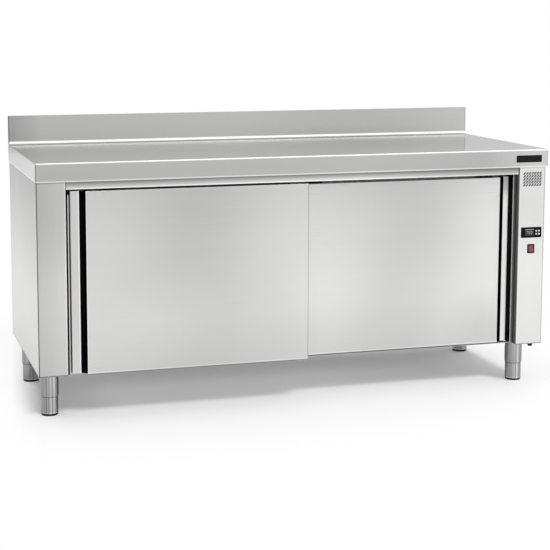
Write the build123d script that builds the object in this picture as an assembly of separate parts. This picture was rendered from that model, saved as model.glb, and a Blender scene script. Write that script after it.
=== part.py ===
from build123d import *
import os

# Sizes in millimetres. X runs left to right, Y front to back, Z up from the floor.

# Worktop
LENGTH = 1800.0
DEPTH = 700.0
WORKTOP_HEIGHT = 850.0
APRON_HEIGHT = 62.0
UPSTAND_HEIGHT = 104.0
UPSTAND_DEPTH = 15.0
TOP_SHEET = 1.5
EDGE_RADIUS = 3.0
COVE_RADIUS = 12.0
HEM_HEIGHT = 12.0
HEM_ROUND = 1.2

# Clearances
SEAT = 0.3
FIT = 0.1
RUNNING = 0.05

# Body panels
SHEET = 1.2
BEND = 2.0
BODY_BOTTOM = 155.0
LEFT_INSET = 2.0
RIGHT_INSET = 7.5
FRONT_INSET = 5.0
BACK_INSET = 3.0
POST_WIDTH = 95.0
POST_REVEAL = 45.0
COLUMN_WIDTH = 98.0
COLUMN_REVEAL = 41.0
COLUMN_FLANGE = 8.0
LEFT_JAMB = 11.0
RIGHT_JAMB = 5.0
JAMB_SETBACK = 12.0
JAMB_RETURN = 5.0
BACK_FLANGE = 25.0
TOP_FLANGE = 45.0
TOP_RELIEF = 4.0
TRAY_HEIGHT = 25.0
RAIL_DROP = 25.0
RAIL_RETURN = 8.0
RAIL_END_GAP = 2.5
STIFFENER_WIDTH = 50.0
STIFFENER_HEIGHT = 28.0
STIFFENER_FLANGE = 20.0
STIFFENER_PITCH = 260.0

# Sliding doors
DOOR_THICKNESS = 40.0
DOOR_PITCH = 50.0
DOOR_RECESS = 2.0
DOOR_GAP = 5.0
DOOR_OVERLAP = 38.5
DOOR_HEAD_GAP = 7.0
DOOR_BELOW = 2.0
REAR_DOOR_DROP = 7.0
OPEN_LAP = 65.0
STRIP_WIDTHS = (30.0, 20.0)
SLOT_WIDTH = 18.5
STRIP_SETBACK = 14.0
SLOT_FLOOR = 6.0
STRIP_SHORTER = 4.0
GROOVE_WIDTH = 8.0
GROOVE_HEIGHT = 14.0
GROOVE_LAP = 6.0
BACK_SKIN_LAP = 8.0

# Door tracks, hangers, rollers and floor guide
TRACK_SHEET = 1.5
TRACK_RISE = 36.0
TRACK_LIP = 10.5
TRACK_WEB_OFFSET = 14.0
TRACK_FLANGE = 22.0
CARRIER_DROP = 10.0
CARRIER_TAIL = 25.0
HANGER_INSET = 85.0
HANGER_WIDTH = 40.0
HANGER_SHEET = 3.0
HANGER_BEND = 4.0
HANGER_MARGIN = 7.0
HANGER_CORNER = 8.0
HANGER_ABOVE_AXLE = 12.0
SPACER_LENGTH = 1.5
SPACER_RADIUS = 6.4
COLLAR_LENGTH = 1.2
AXLE_RADIUS = 4.0
AXLE_HEAD_FLATS = 13.0
AXLE_HEAD = 3.0
BOLT_PITCH = 20.0
BOLT_FLATS = 10.0
BOLT_HEAD = 4.0
ROLLER_RADIUS = 15.0
ROLLER_GROOVE_RADIUS = 11.5
ROLLER_WIDTH = 12.0
ROLLER_GROOVE = 2.5
ROLLER_FLARE = 1.2
ROLLER_CHAMFER = 1.0
STOP_LENGTH = 14.0
STOP_HEIGHT = 16.0
STOP_ROUND = 3.0
SILL_GAP = 1.5
SILL_SETBACK = 2.0
SILL_STEP = 5.0
GUIDE_LENGTH = 28.0
GUIDE_SHEET = 2.5
RIB_WIDTH = 5.0
RIB_HEIGHT = 10.0
RIB_ROUND = 1.5

# Hot chamber
CHAMBER_SETBACK = 4.2
FLOOR_RAISE = 40.0
CEILING_DROP = 4.0
BACK_CAVITY = 24.0
CEILING_TAIL = 12.0
SIDE_SLAB = 40.0
CEILING_SLAB = 38.0
SHELF_RAISE = 300.0
SHELF_EDGE = 25.0
SHELF_SIDE_GAP = 5.0
SHELF_FRONT_GAP = 14.0
SHELF_BACK_GAP = 22.0
SHELF_SLOT_LENGTH = 75.0
SHELF_SLOT_WIDTH = 12.0
SHELF_SLOT_COLUMNS = 6
SHELF_SLOT_ROWS = 2
UPRIGHT_WIDTH = 25.0
UPRIGHT_DEPTH = 10.0
UPRIGHT_PITCH = 50.0
UPRIGHT_INSET = 45.0
UPRIGHT_END_GAP = 22.0
CLIP_SLOT_WIDTH = 8.0
CLIP_SLOT_HEIGHT = 7.0
CLIP_SHEET = 2.0
CLIP_BEND = 2.5
CLIP_HEIGHT = 22.0
CLIP_REACH = 20.0
CLIP_SIDE_GAP = 1.0
TONGUE_WIDTH = 6.0
TONGUE_HEIGHT = 3.0
TONGUE_DROP = 6.0

# Fan, heater and probe
BAFFLE_DEPTH = 52.0
BAFFLE_WIDTH = 340.0
BAFFLE_HEIGHT = 220.0
BAFFLE_RAISE = 10.0
INTAKE_RADIUS = 8.0
INTAKE_PITCH = 24.0
INTAKE_COUNT = 4
OUTLET_LENGTH = 26.0
OUTLET_WIDTH = 8.5
OUTLET_PITCH = 24.0
OUTLET_COUNT = 7
FAN_RADIUS = 68.0
FAN_DEPTH = 32.0
FAN_EYE_RADIUS = 49.0
FAN_SHEET = 2.0
FAN_BLADES = 10
BLADE_CHORD = 28.0
BLADE_CENTRE = 53.0
BLADE_SWEEP = 35.0
HUB_RADIUS = 14.0
HUB_LENGTH = 21.0
SHAFT_RADIUS = 4.0
SHAFT_HOLE_RADIUS = 12.0
SHAFT_INTO_MOTOR = 48.0
SHAFT_END_GAP = 3.0
MOTOR_RADIUS = 42.0
MOTOR_LENGTH = 60.0
MOTOR_ROUND = 6.0
MOTOR_PLATE = 110.0
MOTOR_PLATE_SHEET = 2.0
MOTOR_PLATE_CORNER = 8.0
MOTOR_BOLT_CIRCLE = 64.0
HEATER_RADIUS = 88.0
HEATER_TUBE = 4.2
HEATER_OPENING = 44.0
HEATER_TAIL = 18.0
HEATER_NUT_FLATS = 17.0
HEATER_NUT = 6.0
PROBE_RADIUS = 3.0
PROBE_LENGTH = 70.0
PROBE_TAIL = 12.0
PROBE_NUT_FLATS = 14.0
PROBE_NUT = 6.0
PROBE_FROM_UPRIGHT = 90.0

# Controls on the column
VENT_COLUMNS = 7
VENT_ROWS = 5
VENT_PITCH_X = 10.3
VENT_PITCH_Z = 10.2
VENT_LENGTH = 12.6
VENT_WIDTH = 4.4
VENT_SLANT = 48.0
VENT_DROP = 43.0
CONTROLLER_DROP = 189.0
CONTROLLER_WIDTH = 78.0
CONTROLLER_FACE = 37.0
CONTROLLER_PROUD = 3.0
CONTROLLER_CORNER = 3.0
CONTROLLER_CHAMFER = 1.0
CASE_WIDTH = 70.0
CASE_HEIGHT = 29.0
CASE_DEPTH = 46.0
WINDOW_WIDTH = 34.0
WINDOW_HEIGHT = 23.0
WINDOW_OFFSET = 8.7
WINDOW_SHEET = 1.0
BUTTON_RADIUS = 3.25
BUTTON_OFFSET = 23.2
BUTTON_PITCH_X = 10.3
BUTTON_PITCH_Z = 10.8
BUTTON_PROUD = 0.8
BUTTON_TRAVEL = 0.8
BUTTON_LENGTH = 3.0
BUTTON_ROUND = 0.5
SWITCH_DROP = 58.0
SWITCH_WIDTH = 27.5
SWITCH_FACE = 32.5
SWITCH_PROUD = 2.0
SWITCH_CORNER = 2.5
SWITCH_CHAMFER = 0.8
SWITCH_CASE_DEPTH = 26.0
SWITCH_FLOOR = 4.0
SWITCH_WALL = 1.5
ROCKER_WIDTH = 19.0
ROCKER_LENGTH = 22.5
ROCKER_END_GAP = 1.0
ROCKER_PROUD = 3.0
ROCKER_DISH = 1.0
ROCKER_DEPTH = 10.0
ROCKER_TAPER = 1.5
ROCKER_TILT = 7.0
PIVOT_RADIUS = 1.5
PIVOT_LENGTH = 1.0
PIVOT_BEHIND = 2.0

# Cable gland
GLAND_BORE = 4.5
GLAND_THREAD = 8.0
GLAND_THREAD_ABOVE = 11.0
GLAND_FLATS = 19.0
GLAND_NUT = 5.0
GLAND_LOCK_FLATS = 22.0
GLAND_LOCK = 5.0
GLAND_DROP = 15.0
GLAND_DOME_RADIUS = 8.0
GLAND_DOME_ROUND = 3.0
GLAND_FROM_FRONT = 30.0
GLAND_FROM_MIDDLE = 21.5

# Legs
LEG_RADIUS = 31.0
LEG_WALL = 2.0
LEG_TAPER = 1.2
LEG_TAPER_HEIGHT = 8.0
LEG_SIDE_INSET = 49.0
LEG_END_INSET = 120.0
FOOT_SHOWING = 58.0
FOOT_GUIDE = 16.0
FOOT_RISE = 20.0
FOOT_WALL = 3.0
FOOT_WEB = 6.0
FOOT_CHAMFER = 2.0
STEM_RADIUS = 8.0
STEM_CHAMFER = 1.5
STEM_CLEAR = 1.0
DIAPHRAGM = 20.0
PAD_HEIGHT = 6.0
PAD_STEP = 1.2
PAD_CHAMFER = 2.0

# Planes and edges that follow from the sizes above
X_LEFT = -LENGTH / 2 + LEFT_INSET
X_RIGHT = LENGTH / 2 - RIGHT_INSET
Y_FRONT = -DEPTH / 2 + FRONT_INSET
Y_BACK = DEPTH / 2 - BACK_INSET
X_POST = X_LEFT + POST_WIDTH
X_COLUMN = X_RIGHT - COLUMN_WIDTH
X_COLUMN_MIDDLE = X_COLUMN + COLUMN_WIDTH / 2
X_LEFT_WALL = X_POST + LEFT_JAMB
X_RIGHT_WALL = X_COLUMN - RIGHT_JAMB
Z_APRON = WORKTOP_HEIGHT - APRON_HEIGHT
Z_UNDER = WORKTOP_HEIGHT - TOP_SHEET
Z_SIDES = Z_UNDER - TOP_RELIEF
Z_RAIL = Z_APRON - RAIL_DROP
Z_CARRIER = Z_UNDER - CARRIER_DROP
Z_VENT = Z_APRON - VENT_DROP
Z_CONTROLLER = Z_VENT - CONTROLLER_DROP
Z_SWITCH = Z_CONTROLLER - SWITCH_DROP
DOOR_TOPS = (Z_RAIL - DOOR_HEAD_GAP, Z_RAIL - DOOR_HEAD_GAP - REAR_DOOR_DROP)
DOOR_BOTTOM = BODY_BOTTOM - DOOR_BELOW
Z_SILL = DOOR_BOTTOM - SILL_GAP - SHEET
DOOR_MIDDLE = DOOR_THICKNESS / 2
DOOR_FRONTS = (Y_FRONT + DOOR_RECESS, Y_FRONT + DOOR_RECESS + DOOR_PITCH)
X_LEFT_DOOR = X_LEFT_WALL + DOOR_GAP
X_RIGHT_DOOR = X_RIGHT_WALL - DOOR_GAP
DOOR_WIDTH = (X_RIGHT_DOOR - X_LEFT_DOOR + DOOR_OVERLAP) / 2
DOOR_TRAVEL = DOOR_WIDTH - OPEN_LAP
X_MEET = X_LEFT_DOOR + DOOR_WIDTH - DOOR_OVERLAP / 2
HANDLE_ZONES = [strip + SLOT_WIDTH for strip in STRIP_WIDTHS]
HANGER_PLACES = (HANGER_INSET, DOOR_WIDTH - HANGER_INSET)
HANGER_FRONT = DOOR_MIDDLE - ROLLER_WIDTH / 2 - SPACER_LENGTH - HANGER_SHEET
Y_CHAMBER = DOOR_FRONTS[1] + DOOR_THICKNESS + CHAMBER_SETBACK
Y_LINER_BACK = Y_BACK - SHEET - BACK_CAVITY
Z_FLOOR = BODY_BOTTOM + FLOOR_RAISE
Z_CEILING = DOOR_TOPS[1] - CEILING_DROP
Z_SHELF = Z_FLOOR + SHELF_RAISE - SHELF_EDGE
Y_UPRIGHTS = (Y_CHAMBER + UPRIGHT_INSET, Y_LINER_BACK - UPRIGHT_INSET)
Z_BAFFLE = Z_FLOOR + BAFFLE_RAISE
Y_FAN = (Y_CHAMBER + Y_LINER_BACK) / 2
Z_FAN = Z_BAFFLE + BAFFLE_HEIGHT / 2
X_FAN = X_RIGHT_WALL - (BAFFLE_DEPTH + FAN_DEPTH) / 2
X_MOTOR = X_RIGHT_WALL + SHEET
PROBE_PLACE = (Y_UPRIGHTS[0] + PROBE_FROM_UPRIGHT, (Z_SHELF + SHELF_EDGE + Z_CEILING) / 2)
HEATER_DROP = (HEATER_RADIUS**2 - (HEATER_OPENING / 2) ** 2) ** 0.5
HEATER_ENDS = [(Y_FAN + way * HEATER_OPENING / 2, Z_FAN - HEATER_DROP) for way in (-1, 1)]
GLAND_PLACE = (X_COLUMN_MIDDLE + GLAND_FROM_MIDDLE, Y_FRONT + GLAND_FROM_FRONT)
PIVOT_PLACE = (Y_FRONT + PIVOT_BEHIND, Z_SWITCH)
BUTTON_PLACES = [
    (BUTTON_OFFSET + x * BUTTON_PITCH_X / 2, z * BUTTON_PITCH_Z / 2) for z in (1, -1) for x in (-1, 1)
]
LEG_PLACES = {
    "front_left": (X_LEFT + LEG_SIDE_INSET, -DEPTH / 2 + LEG_END_INSET),
    "front_right": (X_RIGHT - LEG_SIDE_INSET, -DEPTH / 2 + LEG_END_INSET),
    "back_left": (X_LEFT + LEG_SIDE_INSET, DEPTH / 2 - LEG_END_INSET),
    "back_right": (X_RIGHT - LEG_SIDE_INSET, DEPTH / 2 - LEG_END_INSET),
}
FOOT_RADIUS = LEG_RADIUS - LEG_WALL - SEAT
PAD_RADIUS = FOOT_RADIUS - PAD_STEP
SLEEVE_BOTTOM = PAD_HEIGHT + FOOT_SHOWING
FOOT_TOP = SLEEVE_BOTTOM + FOOT_GUIDE
DIAPHRAGM_BOTTOM = FOOT_TOP + FOOT_RISE + STEM_CLEAR
STEM_TOP = BODY_BOTTOM - FOOT_RISE - STEM_CLEAR


def block(low, high):
    """Solid between two opposite corners."""
    size = [b - a for a, b in zip(low, high)]
    middle = [(a + b) / 2 for a, b in zip(low, high)]
    return Pos(*middle) * Box(*size)


def folded(points, sheet, radius, side, plane, start, end):
    """Sheet bent along a path, carried straight along the plane's normal from start to end."""
    path = FilletPolyline(*points, radius=radius)
    section = make_face(offset(path, amount=sheet, side=side))
    return extrude(plane.offset(start) * section, amount=end - start)


def pan(low, high, sheet, axis, closed_end, radius):
    """Tray with bent-up walls; its face is at the low (0) or high (-1) end of the axis."""
    index = (Axis.X, Axis.Y, Axis.Z).index(axis)
    outer = block(low, high)
    outer = fillet(outer.faces().sort_by(axis)[closed_end].edges(), radius)
    inner_low = [a + sheet for a in low]
    inner_high = [b - sheet for b in high]
    if closed_end == 0:
        inner_high[index] = high[index] + sheet
    else:
        inner_low[index] = low[index] - sheet
    inner = block(inner_low, inner_high)
    inner = fillet(inner.faces().sort_by(axis)[closed_end].edges(), radius - sheet)
    return outer - inner


def rod(start, direction, radius, length):
    """Round bar from a point along a direction."""
    return extrude(Plane(start, z_dir=direction) * Circle(radius), amount=length)


def nut(start, direction, flats, length):
    """Hexagon bar from a point along a direction."""
    outline = RegularPolygon(flats / 2, 6, major_radius=False)
    return extrude(Plane(start, z_dir=direction) * outline, amount=length)


def turned(*points):
    """Solid of revolution about Z from radius and height points."""
    return revolve(Plane.XZ * make_face(Polyline(*points, close=True)), Axis.Z)


def column_plane(z):
    """Drawing plane on the column's front, X to the right and Z up."""
    return Plane((X_COLUMN_MIDDLE, Y_FRONT, z), x_dir=(1, 0, 0), z_dir=(0, -1, 0))


def worktop():
    """Pressed top with aprons on four sides, a front hem and a coved upstand along the back."""

    def skin(inset):
        bottom = Z_APRON - inset
        top = WORKTOP_HEIGHT - inset
        crest = WORKTOP_HEIGHT + UPSTAND_HEIGHT - inset
        front = -DEPTH / 2 + inset
        back = DEPTH / 2 - inset
        cove = DEPTH / 2 - UPSTAND_DEPTH + inset
        corners = [(front, bottom), (front, top), (cove, top), (cove, crest), (back, crest), (back, bottom)]
        outline = make_face(Polyline(*corners, close=True))
        solid = extrude(Plane.YZ * outline, amount=LENGTH / 2 - inset, both=True)
        along_x = solid.edges().filter_by(Axis.X)
        inside_corner = along_x.filter_by_position(Axis.Z, top, top).sort_by(Axis.Y)[-1]
        solid = fillet(inside_corner, COVE_RADIUS + inset)
        solid = fillet(solid.edges().filter_by(Axis.Z).group_by(Axis.Y)[0], EDGE_RADIUS - inset)
        rim = solid.faces().filter_by(Plane.XY).group_by(Axis.Z)[-2].edges()
        return fillet(rim.sort_by(Axis.Y)[:-1], EDGE_RADIUS - inset)

    half = LENGTH / 2 - EDGE_RADIUS
    front = -DEPTH / 2 + TOP_SHEET
    hem = block((-half, front, Z_APRON), (half, front + TOP_SHEET, Z_APRON + HEM_HEIGHT))
    hem = fillet(hem.edges().filter_by(Axis.X).group_by(Axis.Y)[-1], HEM_ROUND)
    return skin(0.0) - skin(TOP_SHEET) + hem


def stiffeners():
    """Hat channels under the worktop."""
    half = STIFFENER_WIDTH / 2
    hats = []
    for y in (-STIFFENER_PITCH / 2, STIFFENER_PITCH / 2):
        points = [
            (y - half - STIFFENER_FLANGE, Z_UNDER),
            (y - half, Z_UNDER),
            (y - half, Z_UNDER - STIFFENER_HEIGHT),
            (y + half, Z_UNDER - STIFFENER_HEIGHT),
            (y + half, Z_UNDER),
            (y + half + STIFFENER_FLANGE, Z_UNDER),
        ]
        start = X_LEFT + BACK_FLANGE
        hats.append(folded(points, SHEET, BEND, Side.RIGHT, Plane.YZ, start, X_RIGHT - BACK_FLANGE))
    return Compound(children=hats)


def left_panel():
    """Left side folded round the corner into the post, then back along the reveal to the jamb."""
    back = Y_BACK - SHEET
    reveal = Y_FRONT + POST_REVEAL
    points = [
        (X_LEFT + BACK_FLANGE, back),
        (X_LEFT, back),
        (X_LEFT, Y_FRONT),
        (X_POST, Y_FRONT),
        (X_POST, reveal),
        (X_LEFT_WALL - SHEET, reveal),
    ]
    panel = folded(points, SHEET, BEND, Side.LEFT, Plane.XY, BODY_BOTTOM, Z_SIDES)
    over_doors = block(
        (X_POST, Y_FRONT, Z_CEILING + SEAT), (X_LEFT_WALL, reveal + BEND + SHEET, Z_SIDES + SEAT)
    )
    return panel - over_doors


def right_panel():
    """Right side with a return flange behind the control panel."""
    back = Y_BACK - SHEET
    front = Y_FRONT + SHEET
    points = [
        (X_RIGHT - BACK_FLANGE, back),
        (X_RIGHT, back),
        (X_RIGHT, front),
        (X_RIGHT - COLUMN_FLANGE, front),
    ]
    return folded(points, SHEET, BEND, Side.RIGHT, Plane.XY, BODY_BOTTOM, Z_SIDES)


def switch_case(margin):
    """Outline of the switch body with a margin all round."""
    width = ROCKER_WIDTH + 2 * (SEAT + SWITCH_WALL + margin)
    height = ROCKER_LENGTH + 2 * (ROCKER_END_GAP + SWITCH_WALL + margin)
    return Rectangle(width, height)


def control_panel():
    """Column front with its deep reveal, jamb lip, vent slots and cut-outs."""
    reveal = Y_FRONT + COLUMN_REVEAL
    points = [(X_RIGHT_WALL, reveal), (X_COLUMN, reveal), (X_COLUMN, Y_FRONT), (X_RIGHT, Y_FRONT)]
    panel = folded(points, SHEET, BEND, Side.LEFT, Plane.XY, BODY_BOTTOM, Z_SIDES)
    grid = GridLocations(VENT_PITCH_X, VENT_PITCH_Z, VENT_COLUMNS, VENT_ROWS)
    slots = [place * SlotOverall(VENT_LENGTH, VENT_WIDTH, VENT_SLANT) for place in grid]
    vent = extrude(column_plane(Z_VENT) * Sketch(children=slots), amount=BEND, both=True)
    case = Rectangle(CASE_WIDTH + 2 * SEAT, CASE_HEIGHT + 2 * SEAT)
    case_hole = extrude(column_plane(Z_CONTROLLER) * case, amount=BEND, both=True)
    switch_hole = extrude(column_plane(Z_SWITCH) * switch_case(SEAT), amount=BEND, both=True)
    over_doors = block(
        (X_RIGHT_WALL - SEAT, reveal - BEND, Z_CEILING + SEAT),
        (X_COLUMN, reveal + BEND + SHEET, Z_SIDES + SEAT),
    )
    return panel - vent - case_hole - switch_hole - over_doors


def back_panel():
    """Outer back with a flange under the worktop."""
    points = [(Y_BACK, BODY_BOTTOM), (Y_BACK, Z_UNDER), (Y_BACK - TOP_FLANGE, Z_UNDER)]
    return folded(points, SHEET, BEND, Side.LEFT, Plane.YZ, X_LEFT + BEND, X_RIGHT - BEND)


def base_tray():
    """Bottom tray, turned up behind the doors and stepped down into a sill under the rear door."""
    low = (X_LEFT + SHEET + SEAT, Y_FRONT + 2 * SHEET + SEAT, BODY_BOTTOM)
    high = (X_RIGHT - SHEET - SEAT, Y_BACK - 2 * SHEET - SEAT, BODY_BOTTOM + TRAY_HEIGHT)
    tray = pan(low, high, SHEET, Axis.Z, 0, BEND)
    front = Y_CHAMBER - SHEET
    back = front + TRAY_HEIGHT
    notch = block(
        (X_POST - SHEET - SEAT, Y_FRONT, BODY_BOTTOM - SEAT),
        (X_COLUMN + SHEET + SEAT, front, BODY_BOTTOM + TRAY_HEIGHT + SEAT),
    )
    start = X_LEFT_WALL + SEAT
    end = X_RIGHT_WALL - SEAT
    upturn = [(back, BODY_BOTTOM), (front, BODY_BOTTOM), (front, Z_FLOOR - SHEET - SEAT)]
    edge = folded(upturn, SHEET, BEND, Side.RIGHT, Plane.YZ, start, end)
    step = front + SILL_STEP
    lip = DOOR_FRONTS[1] + SILL_SETBACK
    downturn = [(back, BODY_BOTTOM), (step, BODY_BOTTOM), (step, Z_SILL), (lip, Z_SILL)]
    sill = folded(downturn, SHEET, BEND, Side.RIGHT, Plane.YZ, start, end)
    gland_hole = rod((*GLAND_PLACE, BODY_BOTTOM - SEAT), (0, 0, 1), GLAND_THREAD + SEAT, 2 * BEND)
    rib = DOOR_FRONTS[1] + DOOR_MIDDLE
    reach_x = GUIDE_LENGTH / 2 + SEAT
    reach_y = RIB_WIDTH / 2 + SEAT
    rib_hole = block(
        (X_MEET - reach_x, rib - reach_y, Z_SILL - SEAT), (X_MEET + reach_x, rib + reach_y, DOOR_BOTTOM)
    )
    return tray - notch + edge + sill - gland_hole - rib_hole


def floor_guide():
    """Guide under the meeting edges: one rib runs in each door's groove."""
    bottom = Z_SILL - GUIDE_SHEET
    crest = DOOR_BOTTOM + RIB_HEIGHT
    tip = DOOR_FRONTS[0] + DOOR_MIDDLE - RIB_WIDTH
    points = [(tip, bottom), (tip, Z_SILL)]
    for front in DOOR_FRONTS:
        left = front + DOOR_MIDDLE - RIB_WIDTH / 2
        right = front + DOOR_MIDDLE + RIB_WIDTH / 2
        points += [(left, Z_SILL), (left, crest), (right, crest), (right, Z_SILL)]
    points += [(Y_CHAMBER - SHEET, Z_SILL), (Y_CHAMBER - SHEET, bottom)]
    outline = make_face(Polyline(*points, close=True))
    guide = extrude(Plane.YZ.offset(X_MEET) * outline, amount=GUIDE_LENGTH / 2, both=True)
    crests = guide.edges().filter_by(Axis.X).filter_by_position(Axis.Z, crest, crest)
    return fillet(crests, RIB_ROUND)


def front_rail():
    """Rail over the doors, folded back at the bottom and under the worktop at the top."""
    points = [
        (Y_FRONT + RAIL_RETURN, Z_RAIL),
        (Y_FRONT, Z_RAIL),
        (Y_FRONT, Z_UNDER),
        (Y_FRONT + TOP_FLANGE, Z_UNDER),
    ]
    return folded(points, SHEET, BEND, Side.RIGHT, Plane.YZ, X_POST + SEAT, X_COLUMN - RAIL_END_GAP)


def track_carrier():
    """Plate over the tracks, from the rail to the chamber."""
    front = Y_FRONT + SHEET
    points = [
        (front, Z_UNDER - SHEET - BEND),
        (front, Z_CARRIER),
        (Y_CHAMBER + CARRIER_TAIL, Z_CARRIER),
    ]
    return folded(points, SHEET, BEND, Side.LEFT, Plane.YZ, X_POST + SEAT, X_COLUMN - SEAT)


def track(door):
    """J-shaped track: the rollers run on its upturned lip."""
    middle = DOOR_FRONTS[door] + DOOR_MIDDLE
    lip = middle - TRACK_SHEET / 2
    web = middle + TRACK_WEB_OFFSET
    crest = DOOR_TOPS[door] + TRACK_RISE
    bottom = crest - TRACK_LIP
    top = Z_CARRIER - TRACK_SHEET
    points = [(lip, crest), (lip, bottom), (web, bottom), (web, top), (web + TRACK_FLANGE, top)]
    start = X_POST + 2 * SEAT
    return folded(points, TRACK_SHEET, BEND, Side.LEFT, Plane.YZ, start, X_COLUMN - 2 * SEAT)


def track_stops():
    """Buffers clipped over the track lips, where the rollers end their run."""
    reach = ROLLER_RADIUS + 2 * SEAT
    left_runs = (
        X_LEFT_DOOR + HANGER_PLACES[0] - reach,
        X_LEFT_DOOR + HANGER_PLACES[1] + DOOR_TRAVEL + reach,
    )
    right_runs = (
        X_RIGHT_DOOR - HANGER_PLACES[1] - DOOR_TRAVEL - reach,
        X_RIGHT_DOOR - HANGER_PLACES[0] + reach,
    )
    stops = []
    for door, runs in enumerate((left_runs, right_runs)):
        middle = DOOR_FRONTS[door] + DOOR_MIDDLE
        crest = DOOR_TOPS[door] + TRACK_RISE
        floor = crest - TRACK_LIP + TRACK_SHEET + SEAT
        half = TRACK_SHEET / 2 + FIT
        for face, way in zip(runs, (-1, 1)):
            low, high = sorted((face, face + way * STOP_LENGTH))
            body = block(
                (low, middle - ROLLER_WIDTH / 2, floor),
                (high, middle + ROLLER_WIDTH / 2, crest + STOP_HEIGHT),
            )
            body = fillet(body.faces().sort_by(Axis.Z)[-1].edges(), STOP_ROUND)
            groove = block((low - SEAT, middle - half, floor - SEAT), (high + SEAT, middle + half, crest))
            stops.append(body - groove)
    return Compound(children=stops)


def left_liner():
    """Left chamber wall, its narrow front return set beside the post's reveal."""
    front = Y_FRONT + JAMB_SETBACK
    points = [(X_LEFT_WALL - JAMB_RETURN, front), (X_LEFT_WALL, front), (X_LEFT_WALL, Y_LINER_BACK - SEAT)]
    bottom = BODY_BOTTOM + SHEET + SEAT
    return folded(points, SHEET, BEND, Side.LEFT, Plane.XY, bottom, Z_CEILING)


def right_liner():
    """Right chamber wall with the holes for shaft, heater ends and probe."""
    front = Y_FRONT + COLUMN_REVEAL + SHEET
    points = [(X_COLUMN, front), (X_RIGHT_WALL, front), (X_RIGHT_WALL, Y_LINER_BACK - SEAT)]
    bottom = BODY_BOTTOM + SHEET + SEAT
    wall = folded(points, SHEET, BEND, Side.RIGHT, Plane.XY, bottom, Z_CEILING)
    start = X_RIGHT_WALL - BEND
    along = (1, 0, 0)
    wall = wall - rod((start, Y_FAN, Z_FAN), along, SHAFT_HOLE_RADIUS, 3 * BEND)
    wall = wall - rod((start, *PROBE_PLACE), along, PROBE_RADIUS + SEAT, 3 * BEND)
    for end in HEATER_ENDS:
        wall = wall - rod((start, *end), along, HEATER_TUBE + SEAT, 3 * BEND)
    return wall


def back_liner():
    """Back chamber wall with a flange towards the outer back."""
    points = [
        (Y_LINER_BACK, BODY_BOTTOM + SHEET + SEAT),
        (Y_LINER_BACK, Z_CEILING),
        (Y_BACK - SHEET - SEAT, Z_CEILING),
    ]
    start = X_LEFT + BACK_FLANGE + SEAT
    return folded(points, SHEET, BEND, Side.RIGHT, Plane.YZ, start, X_RIGHT - BACK_FLANGE - SEAT)


def chamber_floor():
    """Chamber floor with a front flange behind the base tray's edge."""
    points = [
        (Y_LINER_BACK - SEAT, Z_FLOOR),
        (Y_CHAMBER, Z_FLOOR),
        (Y_CHAMBER, BODY_BOTTOM + TRAY_HEIGHT),
    ]
    return folded(points, SHEET, BEND, Side.LEFT, Plane.YZ, X_LEFT_WALL + SEAT, X_RIGHT_WALL - SEAT)


def chamber_ceiling():
    """Chamber ceiling, turned up at the front to close the track space."""
    points = [
        (Y_LINER_BACK + CEILING_TAIL, Z_CEILING),
        (Y_CHAMBER, Z_CEILING),
        (Y_CHAMBER, Z_CARRIER - TRACK_SHEET),
    ]
    return folded(points, SHEET, BEND, Side.RIGHT, Plane.YZ, X_POST + SEAT, X_COLUMN - SEAT)


def insulation():
    """Slabs round the chamber: floor, ceiling, left side and back."""
    gap = SHEET + SEAT
    left = X_LEFT_WALL + SEAT
    right = X_RIGHT_WALL - SEAT
    front = Y_CHAMBER + gap
    back = Y_LINER_BACK - SEAT
    side = X_LEFT_WALL - gap
    rear = Y_BACK - 3 * SHEET - 2 * SEAT
    floor_slab = block((left, front, BODY_BOTTOM + gap), (right, back, Z_FLOOR - gap))
    ceiling_slab = block((left, front, Z_CEILING + gap), (right, back, Z_CEILING + gap + CEILING_SLAB))
    side_slab = block((side - SIDE_SLAB, front, BODY_BOTTOM + gap), (side, back, Z_CEILING - gap))
    back_slab = block((left, Y_LINER_BACK + gap, BODY_BOTTOM + gap), (right, rear, Z_CEILING - gap))
    return Compound(children=[floor_slab, ceiling_slab, side_slab, back_slab])


def shelf():
    """Shelf with turned-down edges and air slots."""
    side_gap = UPRIGHT_DEPTH + SHELF_SIDE_GAP
    low = (X_LEFT_WALL + side_gap, Y_CHAMBER + SHELF_FRONT_GAP, Z_SHELF)
    high = (X_RIGHT_WALL - side_gap, Y_LINER_BACK - SHELF_BACK_GAP, Z_SHELF + SHELF_EDGE)
    tray = pan(low, high, SHEET, Axis.Z, -1, BEND)
    middle = ((low[0] + high[0]) / 2, (low[1] + high[1]) / 2, high[2])
    pitch_x = (high[0] - low[0]) / SHELF_SLOT_COLUMNS
    pitch_y = (high[1] - low[1]) / SHELF_SLOT_ROWS
    grid = GridLocations(pitch_x, pitch_y, SHELF_SLOT_COLUMNS, SHELF_SLOT_ROWS)
    slots = [place * SlotOverall(SHELF_SLOT_LENGTH, SHELF_SLOT_WIDTH) for place in grid]
    return tray - extrude(Plane(middle) * Sketch(children=slots), amount=2 * BEND, both=True)


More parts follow.
